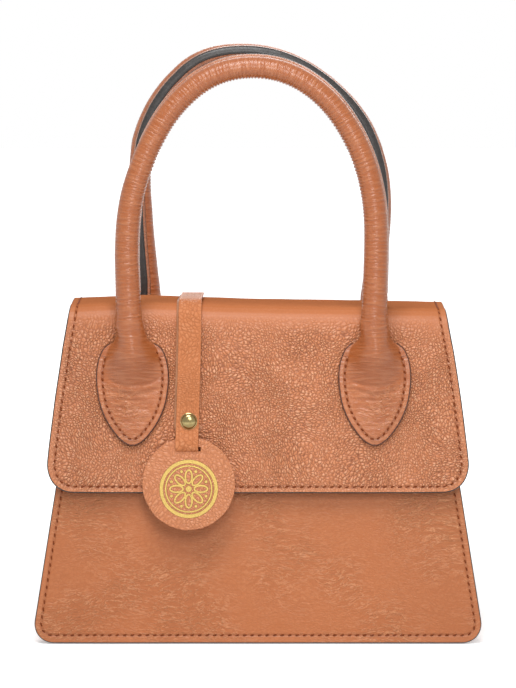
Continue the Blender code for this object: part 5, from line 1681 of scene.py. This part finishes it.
# %% Press the foil ornament
FOIL_X, FOIL_Y = 0.0, -2.6
FOIL_RINGS, FOIL_DOT, FOIL_STUD, STUD_AWAY = ((14.6, 12.9), (11.9, 11.2)), 1.5, 0.75, 9.4
PETAL_NEAR, PETAL_FAR, PETAL_HALF, PETAL_LINE = 2.4, 9.9, 2.1, 0.85
FOIL_THICKNESS, FOIL_ROUNDING, FOIL_STANDOFF = 0.09, 0.02, 0.05
MARK_SPARE, MARK_STANDOFF = 0.22, -0.01


def petal(turn, near, far, half, line):
    """An open petal outline from the centre outwards, as an outer and an inner loop."""
    steps = np.linspace(0, 2 * math.pi, 24, endpoint=False)
    loops = []
    for shrink in (0.0, line):
        along = (near + far) / 2 + ((far - near) / 2 - shrink) * np.cos(steps)
        across = (half - shrink) * np.sin(steps)
        loops.append(np.stack([FOIL_X + along * math.cos(turn) - across * math.sin(turn),
                               FOIL_Y + along * math.sin(turn) + across * math.cos(turn)], -1))
    return loops


def ornament_loops(spare):
    """The loops of the ornament. spare widens every line, for the press mark under it."""
    parts = [[circle(outer + spare, (FOIL_X, FOIL_Y)), circle(inner - spare, (FOIL_X, FOIL_Y))]
             for outer, inner in FOIL_RINGS]
    parts.append([circle(FOIL_DOT + spare, (FOIL_X, FOIL_Y), 24)])
    parts += [petal(math.radians(45 * step), PETAL_NEAR - spare, PETAL_FAR + spare,
                    PETAL_HALF + spare, PETAL_LINE + 2 * spare) for step in range(8)]
    parts += [[circle(FOIL_STUD + spare, (FOIL_X + STUD_AWAY * math.cos(turn),
                                          FOIL_Y + STUD_AWAY * math.sin(turn)), 12)]
              for turn in np.radians(np.arange(22.5, 360, 45))]
    return parts


def lay_ornament(name, spare, standoff, finish):
    shape = bmesh.new()
    for part in ornament_loops(spare):
        mesh = plate("line", part, FOIL_THICKNESS, FOIL_ROUNDING)
        shape.from_mesh(mesh)
        bpy.data.meshes.remove(mesh)
    mesh = bpy.data.meshes.new(name)
    shape.to_mesh(mesh)
    shape.free()
    lay_on_tag(mesh, FRONT_STANDOFF + DISC_LEATHER + standoff)
    mesh.materials.append(finish)
    made = add_object(name, mesh)
    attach(made, "tag_disc")
    print(name, len(mesh.polygons), "faces")


lay_ornament("tag_ornament", 0.0, FOIL_STANDOFF, foil)
lay_ornament("tag_ornament_mark", MARK_SPARE, MARK_STANDOFF, pressed)

# %% [markdown]
# ## Floor, light and background
# The bag stands on a white floor, which keeps the contact shadow. Away from the bag the floor
# shows brighter to the camera, and to gloss and glass, so that it runs into the white
# background without a line. That costs the bag no light of its own.

# %% Floor
FLOOR_CORNERS, FLOOR_DROP = [(-6, -3, 0), (6, -3, 0), (6, 9, 0), (-6, 9, 0)], 0.0004  # metres


def seen(f):
    """1 for rays from the camera, and for those that gloss or glass sends on, else 0."""
    camera_ray, glossy, through = [f.add("LightPath", output="Is " + kind + " Ray")
                                   for kind in ("Camera", "Glossy", "Transmission")]
    return f.math("MAXIMUM", f.math("MAXIMUM", camera_ray, glossy), through)


def floor_finish():
    f = Finish("white floor")
    where = f.in_space()
    speckle = f.noise(where, 40.0, 3.0)
    colour = f.two_tones(f.fade(speckle, 0.3, 0.7), (236, 236, 236), (242, 242, 242))
    base = f.add("BsdfPrincipled", {"Base Color": colour, "Roughness": 0.7})
    apart = f.add("VectorMath", {0: where}, 1, operation="LENGTH")
    share = f.times(seen(f), f.fade(apart, 0.15, 0.75, 0.32, 1.0))
    lift = f.add("Emission", {"Color": (1, 1, 1, 1), "Strength": share})
    f.add("OutputMaterial", {"Surface": f.add("AddShader", {0: base, 1: lift})})
    return f.owner


floor_mesh = bpy.data.meshes.new("floor")
floor_mesh.from_pydata(FLOOR_CORNERS, [], [(0, 1, 2, 3)])
floor_mesh.materials.append(floor_finish())
floor = add_object("floor", floor_mesh)
floor.location.z = -FLOOR_DROP
print("floor ready")

# %% [markdown]
# The light is that of a plain studio. The main lamp is large, high in front of the bag and a
# little to the left. A small weak lamp, also in front and nearly as low as the bag's top,
# fills in the folds, and a wide one behind the bag lights its back. The sky is an even grey.
# Together they light a colour about as it is written.

# %% Lamps and sky
LAMPS = (  # name, place and size in metres, power in watts
    ("key", (-0.15, -0.76, 1.43), 0.72, 17.3),
    ("front", (0.06, -0.68, 0.46), 0.24, 1.95),
    ("back", (0.25, 1.3, 0.9), 1.0, 6.5),
)
LAMPS_AIM, SKY_GREY = (0, 0, 0.12), 0.29

for name, place, size, power in LAMPS:
    lamp = bpy.data.lights.new(name, "AREA")
    lamp.shape, lamp.size, lamp.energy = "SQUARE", size, power
    point_at(add_object(name, lamp), place, LAMPS_AIM)

world = bpy.data.worlds.new("sky")
bpy.context.scene.world = world
f = Finish(world)
grey = f.add("Background", {"Color": (SKY_GREY, SKY_GREY, SKY_GREY, 1)})
white = f.add("Background", {"Color": (1, 1, 1, 1)})
f.add("OutputWorld", {"Surface": f.add("MixShader", {0: seen(f), 1: grey, 2: white})})
bpy.context.scene.view_settings.view_transform = "Standard"
